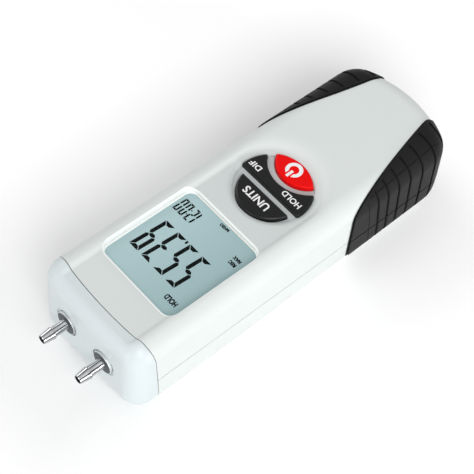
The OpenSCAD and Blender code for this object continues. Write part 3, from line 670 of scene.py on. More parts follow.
def fit_to(piece, low, high, bottom, thick):
    """Stretches a flat piece to a rectangle and sets it between two heights."""
    places = [v.co.copy() for v in piece.data.vertices]
    start = [min(p[k] for p in places) for k in range(3)]
    span = [max(p[k] for p in places) - start[k] for k in range(3)]
    low, high = (*low, bottom), (*high, bottom + thick)
    for v, p in zip(piece.data.vertices, places):
        v.co = [(low[k] + (high[k] - low[k]) * (p[k] - start[k]) / span[k]) * MM for k in range(3)]
    return piece


def lettering(name, words, low, high, bottom, bold=0.02, thick=INK):
    bpy.ops.object.text_add()
    text = bpy.context.object
    text.data.body = words
    text.data.offset = bold
    text.data.extrude = 0.05
    text.data.resolution_u = 6
    bpy.ops.object.convert(target="MESH")
    return fit_to(added(name), low, high, bottom, thick)


legends = {
    "units_word": ("UNITS", "units_key", (-8.2, -7.5), (8.1, -3.0)),
    "hold_word": ("HOLD", "rocker_key", (-17.2, -19.6), (-5.2, -16.35)),
    "dif_word": ("DIF", "rocker_key", (11.2, -19.6), (18.2, -16.4)),
}
printed = []
for name, (words, key, low, high) in legends.items():
    word = lettering(name, words, low, high, KEY_TOP)
    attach(word, key)
    printed.append(word)

# %% Power sign
SIGN = (0.9, -30.9)
SIGN_R, SIGN_HOLE, SIGN_GAP = 4.45, 2.5, 1.65
SIGN_BAR, SIGN_BAR_LONG, SIGN_BAR_UP = 1.5, 4.5, 3.1
sign = rod("power_sign", SIGN_R, KEY_TOP, KEY_TOP + INK, SIGN, sides=64)
combine(sign, rod("sign_hole", SIGN_HOLE, CUT_LOW, CUT_TOP, SIGN, sides=64))
combine(sign, block("sign_gap", (SIGN[0] - SIGN_GAP, SIGN[1], CUT_LOW),
                    (SIGN[0] + SIGN_GAP, SIGN[1] + 2 * SIGN_R, CUT_TOP)))
bar = plate("sign_bar", round_rectangle(SIGN_BAR, SIGN_BAR_LONG, 0.2,
                                        (SIGN[0], SIGN[1] + SIGN_BAR_UP), 3),
            KEY_TOP, KEY_TOP + INK)
sign = joined("power_sign", [sign, bar])
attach(sign, "power_key")
printed.append(sign)
print("printed on the keys:", [piece.name for piece in printed])

# %% [markdown]
# ## The display reading
# A liquid crystal display builds its digits from seven bars, which lean a little. One function
# gives the outline of each bar, and a table says which bars each digit lights. Everything lies on
# top of the glass and under the clear pane, as in a real display.

# %% Seven bars
LEAN = tan(radians(3.6))
GLASS_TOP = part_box("lcd_glass")[1][2] / MM
LIT = {"0": "abcdef", "1": "bc", "2": "abged", "3": "abgcd", "5": "afgcd", "9": "abfgcd"}


def bars(width, height, stroke, gap):
    """Outlines of the seven bars of a digit, round its middle."""
    w, h, t, g = width / 2, height / 2, stroke, gap
    upper = [(-w, h - g), (-w, t / 2 + g), (-w + t / 2, g), (-w + t, t / 2 + g),
             (-w + t, h - t - g)]
    top = [(-w + g, h), (-w + t + g, h - t), (w - t - g, h - t), (w - g, h)]
    middle = [(-w + t / 2 + g, 0), (-w + t + g, -t / 2), (w - t - g, -t / 2), (w - t / 2 - g, 0),
              (w - t - g, t / 2), (-w + t + g, t / 2)]

    def flip(points, sx, sy):
        turned = [(x * sx, y * sy) for x, y in points]
        return turned if sx * sy > 0 else list(reversed(turned))
    return {"f": upper, "e": flip(upper, 1, -1), "b": flip(upper, -1, 1), "c": flip(upper, -1, -1),
            "a": top, "d": flip(top, 1, -1), "g": middle}


def digits(name, text, places, y, width, height, stroke, gap):
    """Digits with their middles at those places along X."""
    outlines = bars(width, height, stroke, gap)
    made = []
    for digit, x in zip(text, places):
        for letter in LIT[digit]:
            points = [(x + px + py * LEAN, y + py) for px, py in outlines[letter]]
            made.append(plate("bar", points, GLASS_TOP, GLASS_TOP + INK))
    return joined(name, made)


reading = digits("reading_digits", "5539", (-9.9, -1.1, 7.75, 16.5), 45.25, 6.3, 21.8, 2.05, 0.22)
clock = digits("clock_digits", "1200", (10.1, 13.7, 17.9, 21.5), 23.1, 2.8, 8.85, 0.95, 0.1)
dots = [plate("dot", round_rectangle(w, h, 0.2, place, 3), GLASS_TOP, GLASS_TOP + INK)
        for w, h, place in [(1.1, 1.9, (3.25, 35.2)), (0.7, 0.7, (15.75, 24.7)),
                            (0.7, 0.7, (15.6, 21.5))]]
dots = joined("display_dots", dots)
words = [
    lettering("hold_mark", "HOLD", (-20.5, 59.85), (-12.9, 63.0), GLASS_TOP, 0.05),
    lettering("record_mark", "REC", (-21.4, 25.2), (-17.0, 27.35), GLASS_TOP, 0.07),
    lettering("highest_mark", "MAX", (-21.4, 22.1), (-16.6, 24.1), GLASS_TOP, 0.07),
    lettering("unit_mark", "inH2O", (-4.4, 14.8), (1.4, 16.6), GLASS_TOP, 0.07),
]
display_print = joined("display_marks", [reading, clock, dots] + words)
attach(display_print, "case")
print("display print faces", len(display_print.data.polygons))

# %% [markdown]
# ## The rear: door, battery well and screw wells
# On the rear a door slides out over the foot and bares a block battery in its well. The door is
# cut from the same form as the case, so its outer face follows the rounding at the foot. Deep
# round wells hold the screws that clamp the covers together.

# %% Rear openings
DOOR_W, DOOR_T, DOOR_PLAY, DOOR_WAY_TOP = 33, 1.6, 0.15, 3.1
WELL_HALF, WELL_FOOT, WELL_HEAD, WELL_TOP, WELL_WALL = 13.4, -96.05, -44.25, 20.25, 1.5
SEAT_HALF, SEAT_LOW, SEAT_TOP, SEAT_SHORT = 18.3, 3, 4.4, 8
SCREW_SPOTS = [(25, 80.25), (-25, 80.25), (22.5, -62.25), (-22.5, -62.25)]
CAP_SCREW_SPOTS = [(8, 80.15), (-8, 80.15)]
TUBE_R, TUBE_LOW, TUBE_TOP = 4.2, 1.9, 22.6
SCREW_ROOM_R, SCREW_ROOM_TOP, CAP_ROOM_R, CAP_ROOM_TOP = 3.0, 11, 2.1, 1.2
door_low, door_high = [[c / MM for c in corner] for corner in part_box("battery_door")]
well_low = (-WELL_HALF, WELL_FOOT, door_high[2] + DOOR_PLAY)
well_high = (WELL_HALF, WELL_HEAD, WELL_TOP)
half_door = DOOR_W / 2 + DOOR_PLAY
combine(rear_shell, block("door_way", (-half_door, FOOT_Y - OVER, -OVER),
                          (half_door, door_high[1] + DOOR_PLAY, DOOR_WAY_TOP)))
seat = block("door_seat", (-SEAT_HALF, FOOT_Y + SEAT_SHORT, SEAT_LOW),
             (SEAT_HALF, door_high[1] + WELL_WALL, SEAT_TOP))
combine(seat, solid, "INTERSECT", keep=True)
well = block("battery_well", (well_low[0] - WELL_WALL, well_low[1] - WELL_WALL, SEAT_LOW + 0.2),
             [c + WELL_WALL for c in well_high])
combine(seat, well, "UNION")
combine(seat, block("well_room", well_low[:2] + (0,), well_high))
combine(rear_shell, seat, "UNION")
for spot in SCREW_SPOTS:
    combine(rear_shell, rod("tube", TUBE_R, TUBE_LOW, TUBE_TOP, spot), "UNION")
    combine(rear_shell, rod("screw_room", SCREW_ROOM_R, -OVER, SCREW_ROOM_TOP, spot))
for spot in CAP_SCREW_SPOTS:
    combine(rear_shell, rod("small_room", CAP_ROOM_R, -OVER, CAP_ROOM_TOP, spot, sides=48))
smooth(rear_shell)
print("rear shell faces", len(rear_shell.data.polygons))

# %% Battery door
RIBS, RIB_FIRST, RIB_PITCH, RIB_LONG, RIB_WIDE, RIB_DEEP = 6, -95.25, 2.4, 16.5, 1, 0.5
door = block("battery_cover", (-DOOR_W / 2, door_low[1], -OVER),
             (DOOR_W / 2, door_high[1], DOOR_T))
flange = block("flange", (door_low[0], door_low[1], DOOR_T - 0.01), door_high)
for part in (door, flange):
    combine(part, solid, "INTERSECT", keep=True)
combine(door, flange, "UNION")
for number in range(RIBS):
    spot = (0, RIB_FIRST + RIB_PITCH * number)
    groove = round_rectangle(RIB_LONG, RIB_WIDE, RIB_WIDE / 2 - 0.01, spot, 4)
    combine(door, plate("finger_rib", groove, -OVER, RIB_DEEP))
smooth(door, 25)
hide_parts("battery_door")
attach(door, "battery_door")
print("door mm", [round(s / MM, 1) for s in door.dimensions])

# %% [markdown]
# ## The end cap and its ports
# The end cap is a shell of its own, in a slightly cooler grey. Two round recesses hold the turned
# metal ports, whose collars stand a little proud of it. A port is a solid of revolution, so its
# profile is drawn once as a chain of points and spun round its axis.

# %% Recesses in the cap
PORT_X, PORT_Z, RECESS_R, FACE_Y = 13.5, 25.2, 6.5, 96.75
SEAT_R, SEAT_BACK, SEAT_FRONT, PORT_HOLE_R = 8, 92.2, 97.6, 3.1
EDGE_OUT, EDGE_IN, EDGE_LONG, EDGE_Y = 1.6, 0.6, 2.2, 98.85
port_low, port_high = [[c / MM for c in corner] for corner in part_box("left_barb")]
for side_sign in (-1, 1):
    spot = (side_sign * PORT_X, PORT_Z)
    combine(end_shell, rod("port_seat", SEAT_R, SEAT_BACK, SEAT_FRONT, spot, "Y"), "UNION")
    combine(end_shell, rod("recess", RECESS_R, FACE_Y, FAR, spot, "Y"))
    combine(end_shell, rod("port_hole", PORT_HOLE_R, SEAT_BACK - OVER, FAR, spot, "Y"))
    bpy.ops.mesh.primitive_cone_add(
        vertices=64, radius1=(RECESS_R + EDGE_OUT) * MM, radius2=(RECESS_R - EDGE_IN) * MM,
        depth=EDGE_LONG * MM, location=(spot[0] * MM, EDGE_Y * MM, spot[1] * MM),
        rotation=(-pi / 2, 0, 0))
    combine(end_shell, settle(added("recess_edge")))
smooth(end_shell)
print("end cap faces", len(end_shell.data.polygons))


# %% Spin a port
def spun(name, profile, x, z, steps=64):
    """A turned piece: (radius, place along Y) pairs spun round an axis along Y."""
    bpy.ops.mesh.primitive_circle_add(vertices=len(profile), radius=MM, fill_type="NOTHING")
    piece = added(name)
    for vertex, (radius, y) in zip(piece.data.vertices, profile):
        vertex.co = ((x + radius) * MM, y * MM, z * MM)
    with Editing(piece, "EDGE"):
        bpy.ops.mesh.spin(steps=steps, angle=2 * pi, center=(x * MM, 0, z * MM), axis=(0, 1, 0))
        bpy.ops.mesh.select_all(action="SELECT")
        bpy.ops.mesh.remove_doubles(threshold=TOUCHING)
    return piece


TIP_Y, COLLAR_Y = port_high[1], 99.3
BORE, SPIGOT_R, SHANK_R, COLLAR_R = 1.3, 1.7, 3.0, 6.3
STEM_R, CREST_R, TIP_R, MOUTH_R = 2.7, 3.25, 2.4, 2.0
inner_y = port_low[1]
port_profile = [
    (BORE, inner_y), (SPIGOT_R, inner_y), (SPIGOT_R, inner_y + 6), (SHANK_R, inner_y + 6),
    (SHANK_R, FACE_Y + 0.05), (COLLAR_R - 0.2, FACE_Y + 0.05), (COLLAR_R, FACE_Y + 0.2),
    (COLLAR_R, COLLAR_Y - 0.35), (COLLAR_R - 0.1, COLLAR_Y - 0.12), (COLLAR_R - 0.35, COLLAR_Y),
    (STEM_R + 0.8, COLLAR_Y), (STEM_R + 0.3, COLLAR_Y + 0.2), (STEM_R, COLLAR_Y + 0.7),
    (STEM_R, TIP_Y - 6.4), (STEM_R + 0.1, TIP_Y - 6.2), (CREST_R - 0.1, TIP_Y - 6.2),
    (CREST_R, TIP_Y - 6.1), (CREST_R, TIP_Y - 5.65), (CREST_R - 0.05, TIP_Y - 5.45),
    (TIP_R + 0.04, TIP_Y - 0.12), (TIP_R - 0.1, TIP_Y), (MOUTH_R + 0.1, TIP_Y),
    (MOUTH_R, TIP_Y - 0.1), (BORE, TIP_Y - 2.5)]
ports = []
for side_sign, node in ((-1, "left_barb"), (1, "right_barb")):
    port = spun(node.replace("barb", "port"), port_profile, side_sign * PORT_X, PORT_Z)
    smooth(port, 35)
    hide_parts(node)
    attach(port, "case")
    ports.append(port)
print("port mm", [round(s / MM, 1) for s in ports[0].dimensions])

# %% [markdown]
# ## The grips
# Black rubber pads wrap both lower sides, from the front over the side to the rear, and are
# parted at the same seam as the covers. Each is the case form grown by 0.8 mm, crossed with the
# outline of the pad, less the case itself. A second, lower layer reaches a little further, and so
# gives the narrow lip round the pad. The grooves are then cut in two steps, and stand further
# apart towards the foot. A wider groove along the seam parts each pad in two halves.

# %% Plan of a grip
GRIP_TOP_X, GRIP_TOP_Y, GRIP_EDGE_X, GRIP_EDGE_TOP_X, GRIP_EDGE_BOW = 36.1, -36.7, 17.2, 35.5, 560
edge_foot_y = -104
edge_run = GRIP_EDGE_TOP_X - GRIP_EDGE_X
edge_length = hypot(edge_run, GRIP_TOP_Y - edge_foot_y)
edge_sag = GRIP_EDGE_BOW - sqrt(GRIP_EDGE_BOW ** 2 - (edge_length / 2) ** 2)


def grip_outline(sign, inset):
    """Outline of one side's grip in plan, drawn in by so many millimetres at its open edges."""
    points = [(FAR, FOOT_Y - 5), (GRIP_EDGE_X + inset, FOOT_Y - 5)]
    for k in range(25):
        t = k / 24
        bow = 4 * edge_sag * t * (1 - t)
        points.append((GRIP_EDGE_X + edge_run * t - bow + inset,
                       edge_foot_y + (GRIP_TOP_Y - edge_foot_y) * t))
    points = points[:-1]
    ax, ay = points[-1]
    for k in range(1, 9):
        t = k / 8
        start, bend, end = (1 - t) ** 2, 2 * t * (1 - t), t * t
        points.append((ax * start + (GRIP_EDGE_TOP_X + inset) * bend + (GRIP_TOP_X + inset) * end,
                       ay * start + (GRIP_TOP_Y - inset) * (bend + end)))
    points.append((FAR, GRIP_TOP_Y - inset))
    turned = [(sign * x, y) for x, y in points]
    return turned if sign < 0 else list(reversed(turned))


# %% Shape the grips
GRIP_UP, GRIP_IN, GRIP_FLOOR = 0.8, 0.5, 5
GROOVES, GROOVE_FIRST, GROOVE_PITCH, GROOVE_SPREAD = 7, 19.8, 6.5, 0.275
GROOVE_LEAN, GROOVE_FAN = 6.5, 1.1
GROOVE_HALF, GROOVE_FLOOR_HALF, FINE_HALF = 0.9, 0.52, 0.3
SOFT_DOWN, SIDE_DOWN, FLOOR_DOWN, CREASE_DOWN = 0.5, 0.2, 0.7, 0.25
LIP, PAD_SLIT, SEAM_HALF = 0.85, 0.06, 0.42
REACH_INSET, REACH_LOW, REACH_TOP = 2.1, -4, 70
CREASE_SPOT, CREASE_HALF, CREASE_TURN = (32.2, -70), 0.16, 3
outer_form = case_form("grip_outer", GRIP_UP)
soft_form = case_form("grip_soft", GRIP_UP - SOFT_DOWN)
inner_form = case_form("grip_inner", -GRIP_IN)
groove_side = case_form("groove_side", GRIP_UP - SIDE_DOWN)
groove_floor = case_form("groove_floor", GRIP_UP - FLOOR_DOWN)
crease_floor = case_form("crease_floor", GRIP_UP - CREASE_DOWN)
grips = {}
for sign, label in ((-1, "left"), (1, "right")):
    pad = plate("pad", grip_outline(sign, LIP), GRIP_FLOOR + 0.6, CUT_TOP)
    combine(pad, outer_form, "INTERSECT", keep=True)
    skirt = plate("skirt", grip_outline(sign, 0), GRIP_FLOOR, CUT_TOP)
    combine(skirt, soft_form, "INTERSECT", keep=True)
    combine(pad, skirt, "UNION")
    combine(pad, inner_form, keep=True)
    reach = plate("reach", grip_outline(sign, REACH_INSET), REACH_LOW, REACH_TOP)
    cutters = []
    for number in range(-1, GROOVES):
        y = (GRIP_TOP_Y - GROOVE_FIRST - GROOVE_PITCH * number
             - GROOVE_SPREAD * number * (number - 1))
        lean = Matrix.Rotation(radians(-GROOVE_LEAN + number * GROOVE_FAN), 4, "X")
        steps = [(GROOVE_HALF, groove_side), (GROOVE_FLOOR_HALF, groove_floor)]
        if number < 0:
            steps = [(FINE_HALF, groove_side)]
        for half_width, bottom in steps:
            cutter = block("groove", (-FAR, -half_width, -FAR), (FAR, half_width, FAR))
            cutter.data.transform(Matrix.Translation((0, y * MM, SEAM_Z * MM)) @ lean)
            combine(cutter, reach, "INTERSECT", keep=True)
            cutters.append(combine(cutter, bottom, keep=True))
    crease = block("crease", (-CREASE_HALF, -FAR, SEAM_Z), (CREASE_HALF, FAR, FAR))
    crease_place = Vector((sign * CREASE_SPOT[0], CREASE_SPOT[1], 0)) * MM
    crease.data.transform(Matrix.Translation(crease_place)
                          @ Matrix.Rotation(radians(-CREASE_TURN * sign), 4, "Z"))
    combine(crease, reach, "INTERSECT", keep=True)
    cutters.append(combine(crease, crease_floor, keep=True))
    removed(reach)
    seam = block("seam", (-FAR, -FAR, SEAM_Z - SEAM_HALF), (FAR, FAR, SEAM_Z + SEAM_HALF))
    cutters.append(combine(seam, groove_floor, keep=True))
    for cutter in cutters:
        combine(pad, cutter)
    for part, low, high in (("front", SEAM_Z + PAD_SLIT, FAR), ("rear", -FAR, SEAM_Z - PAD_SLIT)):
        half = combine(copied(pad, f"{label}_{part}_pad"),
                       block("half", (-FAR, -FAR, low), (FAR, FAR, high)), "INTERSECT")
        smooth(half, 35)
        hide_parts(f"{label}_{part}_grip")
        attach(half, "case")
        grips[half.name] = half
    removed(pad)
removed(outer_form, soft_form, inner_form, groove_side, groove_floor, crease_floor, solid)
print("grips", {name: len(g.data.polygons) for name, g in grips.items()})

# %% [markdown]
# ## Handing the covers over
# All cuts in the three shells are made now. Each shell takes the place of its CAD node, so that
# only one of the two is seen, and the shells and their trim ride on the same body, the case.

# %% Shells ride on the case
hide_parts("front_cover")
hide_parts("rear_cover")
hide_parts("end_cap")
shells = (front_shell, rear_shell, end_shell, rim, keypad_plate, shade_strip)
for piece in shells:
    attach(piece, "case")
print("on the case:", [piece.name for piece in shells])

# %% [markdown]
# ## Writing materials as sums
# A procedural material is a small program made of nodes. Wiring it by hand is slow, so a little
# class wraps one output socket, and Python's own signs add the Math nodes: `grain * 0.2 + 0.4` is
# two nodes. The method `node` adds any other kind, sets it first and then feeds its sockets.


# %% Shader helper
class Sock:
    """One output of a node, which can be reckoned with."""

    def __init__(self, tree, socket):
        self.tree, self.socket = tree, socket

    def math(self, operation, other, swap=False):
        new = self.tree.nodes.new("ShaderNodeMath")
        new.operation = operation
        for place, value in enumerate((other, self) if swap else (self, other)):
            feed(self.tree, new.inputs[place], value)
        return Sock(self.tree, new.outputs[0])

    def __add__(self, other): return self.math("ADD", other)
    def __radd__(self, other): return self.math("ADD", other, True)
    def __sub__(self, other): return self.math("SUBTRACT", other)
    def __rsub__(self, other): return self.math("SUBTRACT", other, True)
    def __mul__(self, other): return self.math("MULTIPLY", other)
    def __rmul__(self, other): return self.math("MULTIPLY", other, True)
    def __gt__(self, other): return self.math("GREATER_THAN", other)
    def __lt__(self, other): return self.math("LESS_THAN", other)


def feed(tree, socket, value):
    if isinstance(value, Sock):
        tree.links.new(value.socket, socket)
    else:
        socket.default_value = value


class Look:
    """A material with a Principled shader and tools to feed it."""

    def __init__(self, name, **shader):
        self.material = bpy.data.materials.new(name)
        self.material.use_nodes = True
        self.tree = self.material.node_tree
        self.shader = self.tree.nodes["Principled BSDF"]
        for key, value in shader.items():
            self.set(key.replace("_", " ").title().replace("Ior", "IOR"), value)

    def set(self, socket, value):
        feed(self.tree, self.shader.inputs[socket], value)

    def node(self, kind, settings=None, output=0, **inputs):
        new = self.tree.nodes.new("ShaderNode" + kind)
        for key, value in (settings or {}).items():
            setattr(new, key, value)
        for key, value in inputs.items():
            which = int(key[1:]) if key[1:].isdigit() else key.replace("_", " ")
            feed(self.tree, new.inputs[which], value)
        return Sock(self.tree, new.outputs[output])

    def math(self, operation, value):
        return self.node("Math", {"operation": operation}, i0=value)

    def vector(self, operation, output=0, **inputs):
        return self.node("VectorMath", {"operation": operation}, output, **inputs)

    def ramp(self, value, start, end):
        """Goes from 0 at the start to 1 at the end, and keeps to these beyond."""
        return self.node("MapRange", Value=value, From_Min=start, From_Max=end)

    def place(self):
        return self.node("TexCoord", output=3)

    def axis(self, letter):
        return self.node("SeparateXYZ", output="XYZ".index(letter), Vector=self.place())

    def noise(self, scale, detail=2.0, roughness=0.5):
        """Cloudy grain, with so many grains a metre."""
        return self.node("TexNoise", Vector=self.place(), Scale=scale, Detail=detail,
                         Roughness=roughness)

    def bump(self, height, strength, distance):
        self.set("Normal", self.node("Bump", Height=height, Strength=strength, Distance=distance))

    def mix(self, factor, first, second):
        return self.node("Mix", {"data_type": "RGBA"}, 2, i0=factor, i6=first, i7=second)

    def outside(self, half_x, half_y, middle_y=0):
        """In plan, how far a point lies outside a rectangle, and nought inside it."""
        past_x = self.math("ABSOLUTE", self.axis("X")) - half_x
        past_y = self.math("ABSOLUTE", self.axis("Y") - middle_y) - half_y
        past = self.vector("MAXIMUM", i0=self.node("CombineXYZ", X=past_x, Y=past_y), i1=(0, 0, 0))
        return self.vector("LENGTH", 1, i0=past)


def srgb(r, g, b):
    """A colour given as the eye reads it, 0 to 255, as the shader wants it."""
    def line(c):
        c /= 255
        return c / 12.92 if c <= 0.04045 else ((c + 0.055) / 1.055) ** 2.4
    return line(r), line(g), line(b), 1


def grey(value):
    """A grey given as the shader wants it."""
    return value, value, value, 1


# %% [markdown]
# ## Moulded plastic
# The covers are pale ABS with a fine spark-eroded grain: no gloss to speak of, and tiny pits
# that break up every highlight. The colour wanders by a percent or two, as handled plastic does.
# The sunk panel carries painted shade for the shade in its recess, and the keypad's low bars
# and dish carry more painted shade, for the shade that falls between the keys.


# %% Case and cap
# Heights and places of the painted shade: on the sunk panel and in the keypad's pit.
SUNK_SHADE_Z, PIT_SHADE_Z = (0.0489, 0.0480), (0.0478, 0.0470)
SHADE_NEAR_Y, SHADE_FAR_Y, SHADE_HALF_X = (-0.038, -0.012), (0.066, 0.076), 0.0268


def moulded(name, colour, deeper, rough=0.42, shine=0.5, panel=None, pit=None):
    """Moulded plastic or rubber, of two close colours, with painted shade on the panel and below
    it.
    """
    look = Look(name, roughness=rough, ior=1.48, specular_ior_level=shine)
    base = look.mix(look.noise(25, 3), srgb(*colour), srgb(*deeper))
    # Painted shade on the sunk panel, fading in across the keypad and thinning towards the end cap.
    if panel:
        across = look.math("ABSOLUTE", look.axis("X"))
        sunk = look.ramp(look.axis("Z"), *SUNK_SHADE_Z)
        near = look.ramp(look.axis("Y"), *SHADE_NEAR_Y)
        far = 1 - look.ramp(look.axis("Y"), *SHADE_FAR_Y) * 0.65
        base = look.mix(sunk * near * far * (across < SHADE_HALF_X), base, srgb(*panel))
    # Painted shade in the keypad's low bars and deep dish, below a height.
    if pit:
        base = look.mix(look.ramp(look.axis("Z"), *PIT_SHADE_Z), base, srgb(*pit))
    look.set("Base Color", base)
    grain = look.noise(2600, 3, 0.6)
    look.set("Roughness", grain * 0.12 + (rough - 0.06))
    look.bump(grain, 0.22, 0.00008)
    return look.material


PALE, PALER = (218, 224, 222), (223, 228, 226)
# Greys of painted shade, not colours of the plastic: the sunk panel, then the keypad's pit.
PANEL_SHADE_GREY, PIT_SHADE_GREY = (208, 214, 213), (196, 201, 201)
case_plastic = moulded("pale_case_plastic", PALER, PALE)
front_plastic = moulded("pale_front_plastic_panel_shade", PALER, PALE, panel=PANEL_SHADE_GREY)
keypad_plastic = moulded("keypad_plastic_painted_shade", PALER, PALE, panel=PANEL_SHADE_GREY, pit=PIT_SHADE_GREY)
# Whiter than the case: partly white plastic, partly a painted highlight for the light the rim's
# roll catches.
rim_plastic_and_highlight = moulded("white_rim_plastic_and_highlight", (248, 251, 250), (244, 248, 247), 0.3)
# Painted shade: a dark strip that stands for the shade in the gap between the covers.
parting_shade_rubber = moulded("grey_parting_shade", (66, 69, 70), (56, 59, 60), 0.6, 0.2)
cap_plastic = moulded("cool_cap_plastic", (216, 224, 226), (211, 220, 222), 0.34)
key_rubber = moulded("dark_key_rubber", (16, 17, 18), (12, 13, 14), 0.32, 0.4)
red_rubber = moulded("red_key_rubber", (240, 3, 4), (232, 2, 3), 0.4, 0.15)
grip_rubber = moulded("black_grip_rubber", (24, 24, 24), (18, 18, 18), 0.5, 0.25)
legend_ink = moulded("white_legend_ink", (245, 245, 245), (238, 238, 238), 0.5)
display_ink = moulded("black_display_ink", (6, 9, 10), (3, 5, 6), 0.6, 0.1)
print("plastics and rubbers:", len(bpy.data.materials))

# %% [markdown]
# ## Display glass and pane
# The display's ground is a grey green film with painted shade that darkens it towards the -X side,
# where the rim shades it. It glows a little, as a backlight, which also lifts it out of that shade.
# Above it lies a clear pane: almost all of what is below shows through, and only its gloss tells
# that it is there. A white border is printed on its underside, outside a rounded rectangle, so a
# slanting look into the window ends on white and not in a dark gap. The border glows: painted
# light that keeps it as bright as the lit rim beside it.

# %% Display materials
glass_look = Look("display_film", roughness=0.35, ior=1.5)
# Painted shade: the film darkens towards -X, where the rim shades it.
rim_shade_share = glass_look.ramp(glass_look.axis("X"), -0.025, 0.022)
film_shade = rim_shade_share + glass_look.noise(30, 2) * 0.15
glass_look.set("Base Color", glass_look.mix(film_shade, srgb(144, 171, 174), srgb(166, 192, 195)))
# The glow stands for the backlight and also lifts the film out of the rim's shade.
glow = glass_look.mix(film_shade, srgb(158, 186, 189), srgb(178, 204, 207))
glass_look.set("Emission Color", glow)
glass_look.set("Emission Strength", 0.25)
glass_look.bump(glass_look.noise(4000, 1), 0.05, 0.00003)
display_film = glass_look.material

pane_look = Look("clear_pane", roughness=0.12, ior=1.3)
BORDER_W, BORDER_H, BORDER_R = 49.5, 55.7, 4.5
UNDERSIDE_Z = 0.0456
past_window = pane_look.outside((BORDER_W / 2 - BORDER_R) * MM, (BORDER_H / 2 - BORDER_R) * MM,
                                WINDOW_Y * MM)
border = (past_window > BORDER_R * MM) * (pane_look.axis("Z") < UNDERSIDE_Z)
clear = pane_look.mix(pane_look.noise(60, 1), srgb(60, 68, 70), srgb(54, 62, 64))
pane_look.set("Base Color", pane_look.mix(border, clear, srgb(245, 248, 247)))
# Painted light: the printed border glows, to stay as bright as the lit rim beside it.
pane_look.set("Emission Color", pane_look.mix(border, grey(0), grey(0.42)))
pane_look.set("Emission Strength", 1.0)
pane_look.set("Alpha", border * 0.96 + 0.04)
clear_pane = pane_look.material

# %% [markdown]
# ## Metal
# The ports are turned on a lathe, plated, and polished along their length. Turning leaves fine
# rings round the axis, which come from the place along Y. The bright and dull streaks along the
# metal are painted reflections: each point is pushed onto a ring of one size round its own port,
# so the pattern only changes on the way round and never along. The collar is duller, and painted
# darker for the shade of its recess, with a painted highlight on its edge. The underside carries a
# painted reflection of the shaded table, and the mouth of the bore is painted black for its shade.

# %% Turned and plated metal
turned_look = Look("turned_metal_painted_reflections", metallic=1.0, roughness=0.24)
rings = turned_look.node("TexWave", {"wave_type": "BANDS", "bands_direction": "Y"},
                         1, Vector=turned_look.place(), Scale=900, Distortion=0.6, Detail=1.0)
x_place = turned_look.axis("X")
which = turned_look.math("SIGN", x_place)
spoke = turned_look.node("CombineXYZ", X=x_place - which * (PORT_X * MM),
                         Z=turned_look.axis("Z") - PORT_Z * MM)
onto_ring = turned_look.vector("NORMALIZE", i0=spoke)
# Painted reflection: bright and dull streaks round each port, for the surroundings the polished
# metal mirrors.
STREAK_TURN, STREAK_SCALE = (0.35, 1.7, 0.2), 2.3
moved = turned_look.vector("ADD", i0=onto_ring, i1=STREAK_TURN)
streaks = turned_look.node("TexNoise", Vector=moved, Scale=STREAK_SCALE, Detail=1.0, Roughness=0.4)
painted_streak = turned_look.ramp(streaks, 0.40, 0.54)
from_axis = turned_look.vector("LENGTH", 1, i0=spoke)
foot = turned_look.axis("Y") < (COLLAR_Y + 0.5) * MM
# The collar is rougher, and painted darker for the shade of its recess; its outer edge gets a
# painted highlight.
collar = ((from_axis > (CREST_R + 0.2) * MM) + foot) > 0.5
edge = from_axis > (COLLAR_R - 0.32) * MM
# Painted shade: the mouth of the bore is painted near black, for the dark inside it.
bore_shade = from_axis < (MOUTH_R - 0.03) * MM
# Painted reflection: the underside of each port is darker, for the shaded table below it.
under = turned_look.ramp(turned_look.node("SeparateXYZ", output=2, Vector=onto_ring), 0.3, -0.35)
steel = turned_look.mix(painted_streak, srgb(46, 47, 50), srgb(242, 243, 245))
steel = turned_look.mix(under * 0.85, steel, srgb(92, 94, 97))
dull = turned_look.mix(edge, srgb(104, 109, 111), srgb(226, 230, 231))
steel = turned_look.mix(collar, steel, dull)
turned_look.set("Base Color", turned_look.mix(bore_shade, steel, grey(0.004)))
turned_look.set("Roughness", rings * 0.06 + collar * 0.4 + 0.14)
turned_look.bump(rings, 0.15, 0.00004)
turned_metal = turned_look.material

zinc_look = Look("zinc_screw_metal", metallic=1.0, roughness=0.35)
zinc_look.set("Base Color", zinc_look.mix(zinc_look.noise(700, 3), srgb(168, 170, 174),
                                          srgb(140, 142, 147)))
zinc_look.bump(zinc_look.noise(3000), 0.2, 0.00005)
zinc_metal = zinc_look.material

gilt_look = Look("gilt_contact_metal", metallic=1.0, roughness=0.3)
gilt_look.set("Base Color", gilt_look.mix(gilt_look.noise(900), srgb(222, 190, 110),
                                          srgb(204, 168, 92)))
gilt_metal = gilt_look.material

# %% [markdown]
# ## What is inside
# The inner parts only show when the door is open or the model is taken apart, but each still
# gets its own finish: green solder mask with faint tracks, black chips, soft silicone, and a
# plain jacket on the battery.

# %% Inner materials
board_look = Look("green_board", roughness=0.3)
tracks = board_look.node("TexBrick", None, 1, Vector=board_look.place(), Scale=220.0)
board_look.set("Base Color", board_look.mix(tracks, srgb(30, 98, 58), srgb(44, 122, 74)))
board_look.bump(tracks, 0.3, 0.00005)
green_board = board_look.material

black_chip = moulded("black_chip_resin", (34, 35, 38), (26, 27, 30), 0.45)
black_seal = moulded("black_seal_rubber", (30, 30, 31), (22, 22, 23), 0.6)
grey_silicone = moulded("grey_silicone", (190, 196, 193), (180, 187, 184), 0.5)
tube_silicone = moulded("milky_tube_silicone", (218, 218, 210), (208, 208, 200), 0.35)
white_plastic = moulded("white_diffuser_plastic", (240, 240, 234), (232, 232, 226), 0.4)
ivory_plastic = moulded("ivory_sensor_plastic", (214, 208, 192), (204, 198, 182), 0.45)

